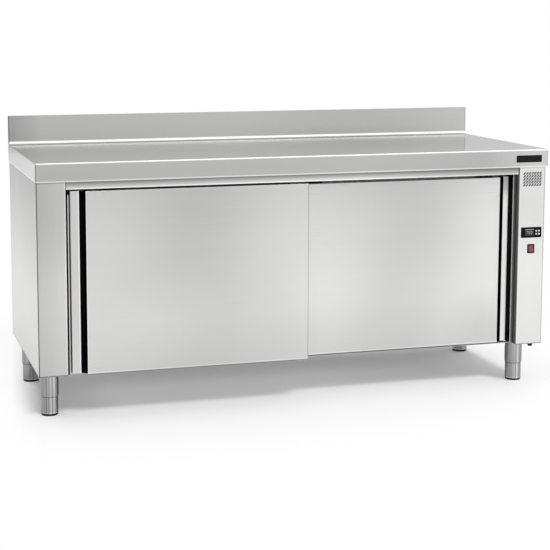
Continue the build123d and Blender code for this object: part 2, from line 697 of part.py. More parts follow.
def upright(wall, way, y):
    """Slotted channel strip on a chamber wall; way is the direction into the chamber."""
    top = Z_CEILING - UPRIGHT_END_GAP
    bottom = Z_FLOOR + UPRIGHT_END_GAP
    out = wall + way * UPRIGHT_DEPTH
    half = UPRIGHT_WIDTH / 2
    points = [(wall, y - half), (out, y - half), (out, y + half), (wall, y + half)]
    side = Side.LEFT if way == 1 else Side.RIGHT
    strip = folded(points, SHEET, BEND, side, Plane.XY, bottom, top)
    below = int((Z_SHELF - bottom - CLIP_SLOT_HEIGHT) / UPRIGHT_PITCH)
    above = int((top - Z_SHELF) / UPRIGHT_PITCH)
    for step in range(-below, above + 1):
        z = Z_SHELF + step * UPRIGHT_PITCH
        low, high = sorted((out - way * BEND, out + way * BEND))
        half_slot = CLIP_SLOT_WIDTH / 2
        strip = strip - block((low, y - half_slot, z - CLIP_SLOT_HEIGHT), (high, y + half_slot, z))
    return strip


def shelf_clip(wall, way, y):
    """Angle clip hooked into an upright under the shelf."""
    face = wall + way * (UPRIGHT_DEPTH + FIT)
    top = Z_SHELF - FIT
    points = [(face, top - CLIP_HEIGHT), (face, top), (face + way * CLIP_REACH, top)]
    side = Side.RIGHT if way == 1 else Side.LEFT
    plane = Plane((0, y, 0), x_dir=(1, 0, 0), z_dir=(0, -1, 0))
    half = UPRIGHT_WIDTH / 2 - CLIP_SIDE_GAP
    angle = folded(points, CLIP_SHEET, CLIP_BEND, side, plane, -half, half)
    low, high = sorted((face - way * (SHEET + SEAT), face + way * CLIP_SHEET))
    tongue = block(
        (low, y - TONGUE_WIDTH / 2, top - TONGUE_DROP),
        (high, y + TONGUE_WIDTH / 2, top - TONGUE_DROP + TONGUE_HEIGHT),
    )
    return angle + tongue


def shelf_supports():
    """Uprights and clips on both side walls."""
    pieces = []
    for y in Y_UPRIGHTS:
        for wall, way in ((X_LEFT_WALL, 1), (X_RIGHT_WALL, -1)):
            pieces.append(upright(wall, way, y))
            pieces.append(shelf_clip(wall, way, y))
    return Compound(children=pieces)


def leg_sleeves():
    """Four tubes under the base, tapered at the foot, with a threaded diaphragm for its stem."""
    inner = LEG_RADIUS - LEG_WALL
    bore = STEM_RADIUS + RUNNING
    sleeve = turned(
        (inner, SLEEVE_BOTTOM),
        (LEG_RADIUS - LEG_TAPER, SLEEVE_BOTTOM),
        (LEG_RADIUS, SLEEVE_BOTTOM + LEG_TAPER_HEIGHT),
        (LEG_RADIUS, BODY_BOTTOM),
        (inner, BODY_BOTTOM),
        (inner, DIAPHRAGM_BOTTOM + DIAPHRAGM),
        (bore, DIAPHRAGM_BOTTOM + DIAPHRAGM),
        (bore, DIAPHRAGM_BOTTOM),
        (inner, DIAPHRAGM_BOTTOM),
    )
    return Compound(children=[Pos(x, y, 0) * sleeve for x, y in LEG_PLACES.values()])


def foot():
    """Adjustable foot: hollow cup with a stem that screws into the sleeve."""
    inner = FOOT_RADIUS - FOOT_WALL
    web = PAD_HEIGHT + FOOT_WEB
    return turned(
        (0, PAD_HEIGHT),
        (FOOT_RADIUS - FOOT_CHAMFER, PAD_HEIGHT),
        (FOOT_RADIUS, PAD_HEIGHT + FOOT_CHAMFER),
        (FOOT_RADIUS, FOOT_TOP),
        (inner, FOOT_TOP),
        (inner, web),
        (STEM_RADIUS, web),
        (STEM_RADIUS, STEM_TOP - STEM_CHAMFER),
        (STEM_RADIUS - STEM_CHAMFER, STEM_TOP),
        (0, STEM_TOP),
    )


def foot_pad():
    """Round pad under the foot."""
    return turned(
        (0, 0),
        (PAD_RADIUS - PAD_CHAMFER, 0),
        (PAD_RADIUS, PAD_CHAMFER),
        (PAD_RADIUS, PAD_HEIGHT),
        (0, PAD_HEIGHT),
    )


def baffle():
    """Cover over fan and heater with intake holes in its face and outlet slots at both ends."""
    low = (X_RIGHT_WALL - BAFFLE_DEPTH, Y_FAN - BAFFLE_WIDTH / 2, Z_BAFFLE)
    high = (X_RIGHT_WALL, Y_FAN + BAFFLE_WIDTH / 2, Z_BAFFLE + BAFFLE_HEIGHT)
    cover = pan(low, high, SHEET, Axis.X, 0, BEND)
    face = Plane((low[0], Y_FAN, Z_FAN), x_dir=(0, 1, 0), z_dir=(1, 0, 0))
    places = HexLocations(INTAKE_PITCH / 2, INTAKE_COUNT, INTAKE_COUNT)
    holes = [place * Circle(INTAKE_RADIUS) for place in places]
    intake = extrude(face * Sketch(children=holes), amount=2 * BEND, both=True)
    end = Plane((X_RIGHT_WALL - BAFFLE_DEPTH / 2, Y_FAN, Z_FAN), x_dir=(1, 0, 0), z_dir=(0, 1, 0))
    places = GridLocations(0, OUTLET_PITCH, 1, OUTLET_COUNT)
    slots = [place * SlotOverall(OUTLET_LENGTH, OUTLET_WIDTH) for place in places]
    outlets = extrude(end * Sketch(children=slots), amount=BAFFLE_WIDTH, both=True)
    return cover - intake - outlets


def impeller():
    """Radial fan wheel with swept blades on its shaft."""
    along = (1, 0, 0)
    hub_start = X_FAN + FAN_DEPTH - HUB_LENGTH
    shaft_end = X_MOTOR + MOTOR_PLATE_SHEET + SHAFT_INTO_MOTOR
    wheel = rod((X_FAN + FAN_DEPTH - FAN_SHEET, Y_FAN, Z_FAN), along, FAN_RADIUS, FAN_SHEET)
    eye = Plane((X_FAN, Y_FAN, Z_FAN), z_dir=along)
    ring = extrude(eye * (Circle(FAN_RADIUS) - Circle(FAN_EYE_RADIUS)), amount=FAN_SHEET)
    hub = rod((hub_start, Y_FAN, Z_FAN), along, HUB_RADIUS, HUB_LENGTH)
    shaft = rod((hub_start, Y_FAN, Z_FAN), along, SHAFT_RADIUS, shaft_end - hub_start)
    wheel = wheel + ring + hub + shaft
    plane = Plane((X_FAN + FAN_SHEET / 2, Y_FAN, Z_FAN), x_dir=(0, 1, 0), z_dir=along)
    blade = Pos(BLADE_CENTRE, 0) * Rot(0, 0, BLADE_SWEEP) * Rectangle(BLADE_CHORD, FAN_SHEET)
    for place in PolarLocations(0, FAN_BLADES):
        wheel = wheel + extrude(plane * place * blade, amount=FAN_DEPTH - FAN_SHEET)
    return wheel


def motor():
    """Fan motor on its plate outside the chamber wall."""
    along = (1, 0, 0)
    can_start = X_MOTOR + MOTOR_PLATE_SHEET
    half = MOTOR_PLATE / 2
    plate = block((X_MOTOR, Y_FAN - half, Z_FAN - half), (can_start, Y_FAN + half, Z_FAN + half))
    plate = fillet(plate.edges().filter_by(Axis.X), MOTOR_PLATE_CORNER)
    can = rod((can_start, Y_FAN, Z_FAN), along, MOTOR_RADIUS, MOTOR_LENGTH)
    can = fillet(can.faces().sort_by(Axis.X)[-1].edges(), MOTOR_ROUND)
    body = plate + can
    plane = Plane((can_start, Y_FAN, Z_FAN), x_dir=(0, 1, 0), z_dir=along)
    for place in PolarLocations(MOTOR_BOLT_CIRCLE, 4, 45.0):
        bolt = RegularPolygon(BOLT_FLATS / 2, 6, major_radius=False)
        body = body + extrude(plane * place * bolt, amount=BOLT_HEAD)
    depth = MOTOR_PLATE_SHEET + SHAFT_INTO_MOTOR + SHAFT_END_GAP
    return body - rod((X_MOTOR, Y_FAN, Z_FAN), along, SHAFT_RADIUS + RUNNING, depth)


def heater():
    """Open ring of heating tube round the fan, its ends led through the chamber wall."""
    x = X_RIGHT_WALL - BAFFLE_DEPTH / 2
    top = (x, Y_FAN, Z_FAN + HEATER_RADIUS)
    arc = ThreePointArc((x, *HEATER_ENDS[0]), top, (x, *HEATER_ENDS[1]))
    ring = sweep(Plane(arc @ 0, z_dir=arc % 0) * Circle(HEATER_TUBE), arc)
    for end in HEATER_ENDS:
        elbow = Pos(x, *end) * Sphere(HEATER_TUBE)
        tail = rod((x, *end), (1, 0, 0), HEATER_TUBE, BAFFLE_DEPTH / 2 + HEATER_TAIL)
        seat = nut((X_MOTOR + FIT, *end), (1, 0, 0), HEATER_NUT_FLATS, HEATER_NUT)
        ring = ring + elbow + tail + seat
    return ring


def probe():
    """Thermostat probe through the chamber wall."""
    tip = (X_RIGHT_WALL - PROBE_LENGTH, *PROBE_PLACE)
    stick = rod(tip, (1, 0, 0), PROBE_RADIUS, PROBE_LENGTH + PROBE_TAIL)
    stick = chamfer(stick.faces().sort_by(Axis.X)[0].edges(), PROBE_RADIUS / 2)
    return stick + nut((X_RIGHT_WALL - FIT, *PROBE_PLACE), (-1, 0, 0), PROBE_NUT_FLATS, PROBE_NUT)


def controller_housing():
    """Panel-mount controller: bezel, window recess, button holes and case."""
    plane = column_plane(Z_CONTROLLER)
    face = RectangleRounded(CONTROLLER_WIDTH, CONTROLLER_FACE, CONTROLLER_CORNER)
    bezel = extrude(plane * face, amount=CONTROLLER_PROUD)
    bezel = chamfer(bezel.faces().sort_by(Axis.Y)[0].edges(), CONTROLLER_CHAMFER)
    case = extrude(plane * Rectangle(CASE_WIDTH, CASE_HEIGHT), amount=-CASE_DEPTH)
    front = plane.offset(CONTROLLER_PROUD)
    window = Pos(-WINDOW_OFFSET, 0) * Rectangle(WINDOW_WIDTH + 2 * FIT, WINDOW_HEIGHT + 2 * FIT)
    recess = extrude(front * window, amount=-WINDOW_SHEET)
    holes = [Pos(*place) * Circle(BUTTON_RADIUS + SEAT) for place in BUTTON_PLACES]
    depth = BUTTON_LENGTH - BUTTON_PROUD + BUTTON_TRAVEL + SEAT
    return bezel + case - recess - extrude(front * Sketch(children=holes), amount=-depth)


def controller_window():
    """Display window in the bezel's recess."""
    plane = column_plane(Z_CONTROLLER).offset(CONTROLLER_PROUD - WINDOW_SHEET)
    pane = Pos(-WINDOW_OFFSET, 0) * Rectangle(WINDOW_WIDTH, WINDOW_HEIGHT)
    return extrude(plane * pane, amount=WINDOW_SHEET)


def button(place):
    """Round button standing a little proud of the bezel."""
    plane = column_plane(Z_CONTROLLER).offset(CONTROLLER_PROUD + BUTTON_PROUD)
    key = extrude(plane * Pos(*place) * Circle(BUTTON_RADIUS), amount=-BUTTON_LENGTH)
    return fillet(key.faces().sort_by(Axis.Y)[0].edges(), BUTTON_ROUND)


def switch_housing():
    """Rocker switch frame and case with pivot holes."""
    plane = column_plane(Z_SWITCH)
    frame = extrude(plane * RectangleRounded(SWITCH_WIDTH, SWITCH_FACE, SWITCH_CORNER), amount=SWITCH_PROUD)
    frame = chamfer(frame.faces().sort_by(Axis.Y)[0].edges(), SWITCH_CHAMFER)
    case = extrude(plane * switch_case(0.0), amount=-SWITCH_CASE_DEPTH)
    opening = Rectangle(ROCKER_WIDTH + 2 * SEAT, ROCKER_LENGTH + 2 * ROCKER_END_GAP)
    depth = SWITCH_PROUD + SWITCH_CASE_DEPTH - SWITCH_FLOOR
    well = extrude(plane.offset(SWITCH_PROUD) * opening, amount=-depth)
    half = ROCKER_WIDTH / 2 + PIVOT_LENGTH + RUNNING
    pivot = rod((X_COLUMN_MIDDLE - half, *PIVOT_PLACE), (1, 0, 0), PIVOT_RADIUS + RUNNING, 2 * half)
    return frame + case - well - pivot


def rocker():
    """Rocker with a dished face, resting with its upper end pressed in."""
    y, z = PIVOT_PLACE
    front = Y_FRONT - ROCKER_PROUD
    half = ROCKER_LENGTH / 2
    outline = make_face(
        Polyline(
            (front, z - half),
            (front + ROCKER_DISH, z),
            (front, z + half),
            (y + PIVOT_RADIUS, z + half - ROCKER_TAPER),
            (front + ROCKER_DEPTH, z),
            (y + PIVOT_RADIUS, z - half + ROCKER_TAPER),
            close=True,
        )
    )
    key = extrude(Plane.YZ.offset(X_COLUMN_MIDDLE) * outline, amount=ROCKER_WIDTH / 2, both=True)
    pin_half = ROCKER_WIDTH / 2 + PIVOT_LENGTH
    key = key + rod((X_COLUMN_MIDDLE - pin_half, y, z), (1, 0, 0), PIVOT_RADIUS, 2 * pin_half)
    return key.rotate(Axis((X_COLUMN_MIDDLE, y, z), (1, 0, 0)), -ROCKER_TILT)


def cable_gland():
    """Cable gland through the base under the column."""
    x, y = GLAND_PLACE
    up = (0, 0, 1)
    tip = BODY_BOTTOM - GLAND_DROP
    dome = rod((x, y, tip), up, GLAND_DOME_RADIUS, GLAND_DROP - GLAND_NUT)
    dome = fillet(dome.faces().sort_by(Axis.Z)[0].edges(), GLAND_DOME_ROUND)
    body = nut((x, y, BODY_BOTTOM - GLAND_NUT), up, GLAND_FLATS, GLAND_NUT)
    thread = rod((x, y, BODY_BOTTOM - SHEET), up, GLAND_THREAD, SHEET + GLAND_THREAD_ABOVE)
    lock = nut((x, y, BODY_BOTTOM + SHEET), up, GLAND_LOCK_FLATS, GLAND_LOCK)
    gland = dome + body + thread + lock
    return gland - rod((x, y, tip), up, GLAND_BORE, GLAND_DROP + GLAND_THREAD_ABOVE)


def door_groove():
    """Space for the guide's rib along the bottom of a door."""
    low = DOOR_MIDDLE - GROOVE_WIDTH / 2
    return block(
        (-SEAT, low, DOOR_BOTTOM - SEAT),
        (DOOR_WIDTH + SEAT, low + GROOVE_WIDTH, DOOR_BOTTOM + GROOVE_HEIGHT),
    )


def door_front(zone, top):
    """Outer door skin: face with four returns, the bottom one only as deep as the groove."""
    low = (zone, 0, DOOR_BOTTOM)
    skin = pan(low, (DOOR_WIDTH, DOOR_THICKNESS, top), SHEET, Axis.Y, 0, BEND)
    behind_groove = block(
        (zone - SEAT, DOOR_MIDDLE, DOOR_BOTTOM - SEAT),
        (DOOR_WIDTH + SEAT, DOOR_THICKNESS + SEAT, DOOR_BOTTOM + SHEET),
    )
    return skin - door_groove() - behind_groove


def door_back(zone, top):
    """Inner door skin, a shallow tray between the returns of the outer one."""
    gap = SHEET + SEAT
    low = (zone + gap, DOOR_MIDDLE + GROOVE_WIDTH / 2, DOOR_BOTTOM)
    high = (DOOR_WIDTH - gap, DOOR_THICKNESS, top - gap)
    skin = pan(low, high, SHEET, Axis.Y, -1, BEND)
    relief = block(
        (zone, 0, DOOR_BOTTOM + SHEET), (DOOR_WIDTH, DOOR_THICKNESS - BACK_SKIN_LAP, top)
    )
    return skin - relief


def door_core(zone, top):
    """Insulation between the door skins."""
    gap = SHEET + SEAT
    low = (zone + gap, gap, DOOR_BOTTOM + GROOVE_HEIGHT + gap)
    high = (DOOR_WIDTH - gap, DOOR_THICKNESS - BACK_SKIN_LAP - SEAT, top - gap)
    return block(low, high)


def door_guide(zone):
    """Channel in the bottom of the door that runs over the guide's rib."""
    flange = DOOR_BOTTOM + SHEET
    low = DOOR_MIDDLE - GROOVE_WIDTH / 2
    high = DOOR_MIDDLE + GROOVE_WIDTH / 2
    top = DOOR_BOTTOM + GROOVE_HEIGHT
    points = [
        (low - GROOVE_LAP, flange),
        (low, flange),
        (low, top),
        (high, top),
        (high, flange),
        (high + GROOVE_LAP, flange),
    ]
    start = zone + SHEET + SEAT
    return folded(points, SHEET, BEND - SEAT, Side.LEFT, Plane.YZ, start, DOOR_WIDTH - SHEET - SEAT)


def door_handle(strip, zone, top):
    """Finger pull: one folded sheet that forms strip, recess and closing edge, capped at its ends."""
    end = zone - SEAT
    slot_floor = DOOR_THICKNESS - SLOT_FLOOR
    points = [
        (end, slot_floor),
        (strip, slot_floor),
        (strip, STRIP_SETBACK),
        (0, STRIP_SETBACK),
        (0, DOOR_THICKNESS),
        (end, DOOR_THICKNESS),
    ]
    profile = folded(points, SHEET, BEND, Side.LEFT, Plane.XY, DOOR_BOTTOM, top)
    bottom = DOOR_BOTTOM + STRIP_SHORTER
    under_strip = block((-SEAT, 0, DOOR_BOTTOM - SEAT), (zone, slot_floor + BEND, bottom))
    profile = profile - under_strip
    for z in (bottom, top - SHEET):
        cap_low = (SHEET, STRIP_SETBACK + SHEET, z)
        profile = profile + block(cap_low, (strip - SHEET, DOOR_THICKNESS - SHEET, z + SHEET))
    return profile - door_groove()


def door_hangers(top):
    """Angle brackets on the door's top edge with the roller axles."""
    axle_z = axle_height(top)
    plate_back = HANGER_FRONT + HANGER_SHEET
    foot_back = DOOR_THICKNESS - HANGER_MARGIN
    collar_start = DOOR_MIDDLE + ROLLER_WIDTH / 2 + SEAT
    back = (0, 1, 0)
    hangers = []
    for place in HANGER_PLACES:
        points = [(foot_back, top), (HANGER_FRONT, top), (HANGER_FRONT, axle_z + HANGER_ABOVE_AXLE)]
        start = place - HANGER_WIDTH / 2
        end = place + HANGER_WIDTH / 2
        hanger = folded(points, HANGER_SHEET, HANGER_BEND, Side.RIGHT, Plane.YZ, start, end)
        hanger = fillet(hanger.faces().sort_by(Axis.Z)[-1].edges().filter_by(Axis.Y), HANGER_CORNER)
        axle_start = (place, HANGER_FRONT, axle_z)
        hanger = hanger + nut(axle_start, (0, -1, 0), AXLE_HEAD_FLATS, AXLE_HEAD)
        hanger = hanger + rod(axle_start, back, SPACER_RADIUS, HANGER_SHEET + SPACER_LENGTH - SEAT)
        hanger = hanger + rod(axle_start, back, AXLE_RADIUS, collar_start + COLLAR_LENGTH - HANGER_FRONT)
        hanger = hanger + rod((place, collar_start, axle_z), back, SPACER_RADIUS, COLLAR_LENGTH)
        for shift in (-BOLT_PITCH / 2, BOLT_PITCH / 2):
            spot = (place + shift, (plate_back + foot_back) / 2, top + HANGER_SHEET)
            hanger = hanger + nut(spot, (0, 0, 1), BOLT_FLATS, BOLT_HEAD)
        hangers.append(hanger)
    return Compound(children=hangers)


def axle_height(top):
    """Height of the roller axles over a door whose top edge is given."""
    return top + TRACK_RISE + ROLLER_GROOVE_RADIUS + SEAT


def door_roller(place, top):
    """Grooved roller that rides on the track's lip."""
    half = ROLLER_WIDTH / 2
    groove = ROLLER_GROOVE / 2
    bore = AXLE_RADIUS + RUNNING
    wheel = turned(
        (bore, -half),
        (ROLLER_RADIUS - ROLLER_CHAMFER, -half),
        (ROLLER_RADIUS, -half + ROLLER_CHAMFER),
        (ROLLER_RADIUS, -groove - ROLLER_FLARE),
        (ROLLER_GROOVE_RADIUS, -groove),
        (ROLLER_GROOVE_RADIUS, groove),
        (ROLLER_RADIUS, groove + ROLLER_FLARE),
        (ROLLER_RADIUS, half - ROLLER_CHAMFER),
        (ROLLER_RADIUS - ROLLER_CHAMFER, half),
        (bore, half),
    )
    return Pos(place, DOOR_MIDDLE, axle_height(top)) * Rot(90, 0, 0) * wheel


def left_place(shape):
    """Puts a door piece on the front track, closed against the left jamb."""
    return Pos(X_LEFT_DOOR, DOOR_FRONTS[0], 0) * shape


def right_place(shape):
    """Puts a mirrored door piece on the rear track, closed against the column."""
    return Pos(X_RIGHT_DOOR, DOOR_FRONTS[1], 0) * mirror(shape, about=Plane.YZ)


parts = {
    "worktop": worktop(),
    "worktop_stiffeners": stiffeners(),
    "left_side_panel": left_panel(),
    "right_side_panel": right_panel(),
    "control_panel": control_panel(),
    "back_panel": back_panel(),
    "base_tray": base_tray(),
    "floor_guide": floor_guide(),
    "front_rail": front_rail(),
    "track_carrier": track_carrier(),
    "front_track": track(0),
    "rear_track": track(1),
    "track_stops": track_stops(),
    "left_liner": left_liner(),
    "right_liner": right_liner(),
    "back_liner": back_liner(),
    "chamber_floor": chamber_floor(),
    "chamber_ceiling": chamber_ceiling(),
    "insulation": insulation(),
    "shelf": shelf(),
    "shelf_supports": shelf_supports(),
    "leg_sleeves": leg_sleeves(),
    "air_baffle": baffle(),
    "fan_motor": motor(),
    "fan_impeller": impeller(),
    "heating_element": heater(),
    "temperature_probe": probe(),
    "controller_housing": controller_housing(),
    "controller_window": controller_window(),
    "switch_housing": switch_housing(),
    "switch_rocker": rocker(),
    "cable_gland": cable_gland(),
}

for number, spot in enumerate(BUTTON_PLACES, 1):
    parts[f"button_{number}"] = button(spot)

for name, (x, y) in LEG_PLACES.items():
    parts[f"foot_{name}"] = Pos(x, y, 0) * foot()
    parts[f"foot_pad_{name}"] = Pos(x, y, 0) * foot_pad()

doors = zip(("left_door", "right_door"), (left_place, right_place), STRIP_WIDTHS, HANDLE_ZONES, DOOR_TOPS)
for door, put, strip, zone, top in doors:
    parts[f"{door}_front"] = put(door_front(zone, top))
    parts[f"{door}_back"] = put(door_back(zone, top))
    parts[f"{door}_core"] = put(door_core(zone, top))
    parts[f"{door}_guide"] = put(door_guide(zone))
    parts[f"{door}_handle"] = put(door_handle(strip, zone, top))
    parts[f"{door}_hangers"] = put(door_hangers(top))
    parts[f"{door}_roller_outer"] = put(door_roller(HANGER_PLACES[0], top))
    parts[f"{door}_roller_inner"] = put(door_roller(HANGER_PLACES[1], top))

os.makedirs("parts", exist_ok=True)
for name, shape in parts.items():
    export_step(shape, f"parts/{name}.step")
print(len(parts), "parts written")
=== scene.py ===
# %% [markdown]
# # A hot food table in brushed stainless steel
# This lesson dresses a measured model of a heated cupboard: a long steel cabinet with a worktop,
# a raised back edge, two sliding doors, a control column and four screw-in feet.
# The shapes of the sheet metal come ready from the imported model, in metres and in their places.
# Blender adds the light, the camera, the finishes and the small fittings that a fitter puts on last.

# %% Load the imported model
import math
import bpy
from mathutils import Matrix, Vector


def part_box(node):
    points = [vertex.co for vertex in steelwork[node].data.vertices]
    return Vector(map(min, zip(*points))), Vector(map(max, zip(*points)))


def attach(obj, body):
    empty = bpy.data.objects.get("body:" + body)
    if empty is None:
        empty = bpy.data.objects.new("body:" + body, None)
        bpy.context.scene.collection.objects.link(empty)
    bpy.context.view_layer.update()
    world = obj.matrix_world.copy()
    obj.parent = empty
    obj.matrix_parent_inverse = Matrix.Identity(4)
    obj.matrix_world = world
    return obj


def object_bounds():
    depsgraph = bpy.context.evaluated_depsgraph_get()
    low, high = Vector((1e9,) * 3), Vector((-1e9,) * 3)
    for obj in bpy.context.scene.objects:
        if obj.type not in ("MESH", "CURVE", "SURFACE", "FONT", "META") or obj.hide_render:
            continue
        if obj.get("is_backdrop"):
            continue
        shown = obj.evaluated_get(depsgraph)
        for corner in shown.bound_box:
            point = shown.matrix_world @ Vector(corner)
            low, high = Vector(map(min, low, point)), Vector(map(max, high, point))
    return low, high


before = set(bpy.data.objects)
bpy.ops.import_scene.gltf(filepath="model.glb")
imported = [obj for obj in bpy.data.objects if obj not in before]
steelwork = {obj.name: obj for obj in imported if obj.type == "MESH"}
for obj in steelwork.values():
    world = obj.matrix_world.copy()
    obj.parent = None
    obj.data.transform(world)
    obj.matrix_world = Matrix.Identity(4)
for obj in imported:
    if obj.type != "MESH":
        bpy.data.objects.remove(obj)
cad_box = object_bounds()

# %% [markdown]
# ## The camera
# A catalogue picture of a long table is taken from some way off with a long lens, so that the
# far end does not shrink much. The camera stands left of the middle and a little above the
# worktop. A small shift of the lens sets the table in its place in the picture, where tipping the
# camera further would make the uprights lean.

# %% Set up the camera
CAMERA_PLACE = (-1.5093, -4.8336, 1.3186)
CAMERA_TIP, CAMERA_TURN = math.radians(90 - 7.131), math.radians(-16.059)
scene = bpy.context.scene
bpy.ops.object.camera_add(location=CAMERA_PLACE, rotation=(CAMERA_TIP, 0, CAMERA_TURN))
camera = bpy.context.object
camera.name = "catalogue_camera"
camera.data.sensor_width = 36
camera.data.lens = 93.22
camera.data.shift_x = 0.06
camera.data.shift_y = -0.15
scene.camera = camera
scene.view_settings.view_transform = "Standard"
print("camera at", [round(v, 2) for v in camera.location], "lens", camera.data.lens, "mm")

# %% [markdown]
# ## The room that the steel reflects
# Bare steel has almost no colour of its own, so the room decides how it looks. The world is white
# where the camera looks past the table. In the steel it is a pale room, a little brighter on the
# right, that falls to grey below the horizon, where a real studio floor runs out of the light.
# Rays that only carry fill light see a weaker sky, so the shadow on the floor stays visible.

# %% Helpers that wire nodes together
def wire(tree, *pairs):
    for start, end in pairs:
        tree.links.new(start, end)


def add_span(tree, value, span, result):
    spread = tree.nodes.new("ShaderNodeMapRange")
    spread.inputs["From Min"].default_value, spread.inputs["From Max"].default_value = span
    spread.inputs["To Min"].default_value, spread.inputs["To Max"].default_value = result
    tree.links.new(value, spread.inputs["Value"])
    return spread.outputs["Result"]


def combine(tree, first, second, operation="ADD", clamp=False):
    joined = tree.nodes.new("ShaderNodeMath")
    joined.operation = operation
    joined.use_clamp = clamp
    wire(tree, (first, joined.inputs[0]), (second, joined.inputs[1]))
    return joined.outputs[0]


def blend(tree, share, first, second):
    mix = tree.nodes.new("ShaderNodeMix")
    tree.links.new(share, mix.inputs["Factor"])
    for name, value in (("A", first), ("B", second)):
        if isinstance(value, float):
            mix.inputs[name].default_value = value
        else:
            tree.links.new(value, mix.inputs[name])
    return mix.outputs["Result"]


def read_place(finish, axis):
    nodes = finish.node_tree.nodes
    place = nodes.new("ShaderNodeTexCoord")
    part = nodes.new("ShaderNodeSeparateXYZ")
    finish.node_tree.links.new(place.outputs["Object"], part.inputs[0])
    return part.outputs[axis]


def rays_that_see(tree):
    ray = tree.nodes.new("ShaderNodeLightPath").outputs
    seen = combine(tree, ray["Is Camera Ray"], ray["Is Glossy Ray"], clamp=True)
    return combine(tree, seen, ray["Is Transmission Ray"], clamp=True)


print("wiring helpers ready")

# %% Build the room
FILL_LIGHT = 0.80
BELOW_HORIZON = 0.66
ROOM_LEFT, ROOM_RIGHT = 0.94, 1.20
ROOM_BEHIND = 0.72
room = bpy.data.worlds.new("studio_room")
scene.world = room
room.use_nodes = True
tree = room.node_tree
tree.nodes.clear()
direction = tree.nodes.new("ShaderNodeTexCoord")
part = tree.nodes.new("ShaderNodeSeparateXYZ")
wire(tree, (direction.outputs["Generated"], part.inputs[0]))
above_horizon = add_span(tree, part.outputs["Z"], (-0.10, 0.02), (0, 1))
front_to_back = add_span(tree, part.outputs["Y"], (-0.3, 0.5), (1.0, ROOM_BEHIND))
left_to_right = add_span(tree, part.outputs["X"], (0.0, 0.5), (ROOM_LEFT, ROOM_RIGHT))
up_and_down = blend(tree, above_horizon, BELOW_HORIZON, front_to_back)
brightness = combine(tree, up_and_down, left_to_right, "MULTIPLY")
camera_ray = tree.nodes.new("ShaderNodeLightPath").outputs["Is Camera Ray"]
seen_strength = blend(tree, camera_ray, brightness, 1.0)
fill_sky = tree.nodes.new("ShaderNodeBackground")
fill_sky.inputs["Strength"].default_value = FILL_LIGHT
seen_room = tree.nodes.new("ShaderNodeBackground")
for sky in (fill_sky, seen_room):
    sky.inputs["Color"].default_value = (1, 1, 1, 1)
choose = tree.nodes.new("ShaderNodeMixShader")
out = tree.nodes.new("ShaderNodeOutputWorld")
wire(
    tree,
    (seen_strength, seen_room.inputs["Strength"]),
    (rays_that_see(tree), choose.inputs[0]),
    (fill_sky.outputs[0], choose.inputs[1]),
    (seen_room.outputs[0], choose.inputs[2]),
    (choose.outputs[0], out.inputs["Surface"]),
)
print("room built with", len(tree.nodes), "nodes")

# %% [markdown]
# ## The lamps
# A key light high in front throws the shadow backwards under the cabinet. It is a wide disc, so
# the edge of the shadow is soft. A second lamp lights the floor in front on the right, and the
# doors and the control column pick that up as a reflection. A long strip overhead is seen only in
# shiny surfaces: it puts a bright line along every bend of the sheet.

# %% Hang the key light
KEY_ELEVATION = math.radians(48)
KEY_TURN = math.radians(6)
KEY_POWER, KEY_SPREAD = 1.58, math.radians(13)
to_key = Vector((
    math.cos(KEY_ELEVATION) * math.sin(KEY_TURN),
    -math.cos(KEY_ELEVATION) * math.cos(KEY_TURN),
    math.sin(KEY_ELEVATION),
))
bpy.ops.object.light_add(type="SUN", rotation=to_key.to_track_quat("Z", "Y").to_euler())
key = bpy.context.object
key.name = "key_light"
key.data.energy = KEY_POWER
key.data.angle = KEY_SPREAD
print("key light", key.data.energy)

# %% Hang the floor lamp and the strip
def hang_panel(name, place, width, length, power, tip=0.0):
    bpy.ops.object.light_add(type="AREA", location=place, rotation=(tip, 0, 0))
    panel = bpy.context.object
    panel.name = name
    panel.data.shape = "RECTANGLE"
    panel.data.size, panel.data.size_y = width, length
    panel.data.energy = power
    panel.visible_camera = False
    return panel


floor_lamp = hang_panel("floor_lamp", (1.7, -2.3, 2.0), width=1.6, length=1.6, power=9)
strip = hang_panel("overhead_strip", (0.6, -2.2, 3.2), width=5.0, length=0.8, power=24, tip=math.radians(38))
strip.visible_diffuse = False
for lamp in (key, floor_lamp):
    lamp.visible_glossy = False
print("floor lamp", floor_lamp.data.energy, "W, strip", strip.data.energy, "W")

# %% [markdown]
# ## The floor
# The table stands on a plain white floor that fades into the white background. A matt plane catches the shadow,
# and a share of plain white is mixed in for the rays that see the floor, as a studio floor that is lit from
# below would do. Seen directly, that share is set by place. It glows most in front of the middle and fades
# under the table and towards both ends, which is painted shade that deepens the shadow there. Beside the left
# end it runs out into the background, which is painted light laid over the shadow.

# %% Lay the floor
FLOOR_WIDE = 7.0
FLOOR_FRONT, FLOOR_BACK = -3.4, 9.0
bpy.ops.mesh.primitive_plane_add(size=1, location=(0, (FLOOR_FRONT + FLOOR_BACK) / 2, 0))
floor = bpy.context.object
floor.name = "studio_floor"
floor.scale = (FLOOR_WIDE, FLOOR_BACK - FLOOR_FRONT, 1)
bpy.ops.object.transform_apply(location=True, rotation=True, scale=True)
floor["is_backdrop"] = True
print("floor laid,", FLOOR_WIDE, "m wide")

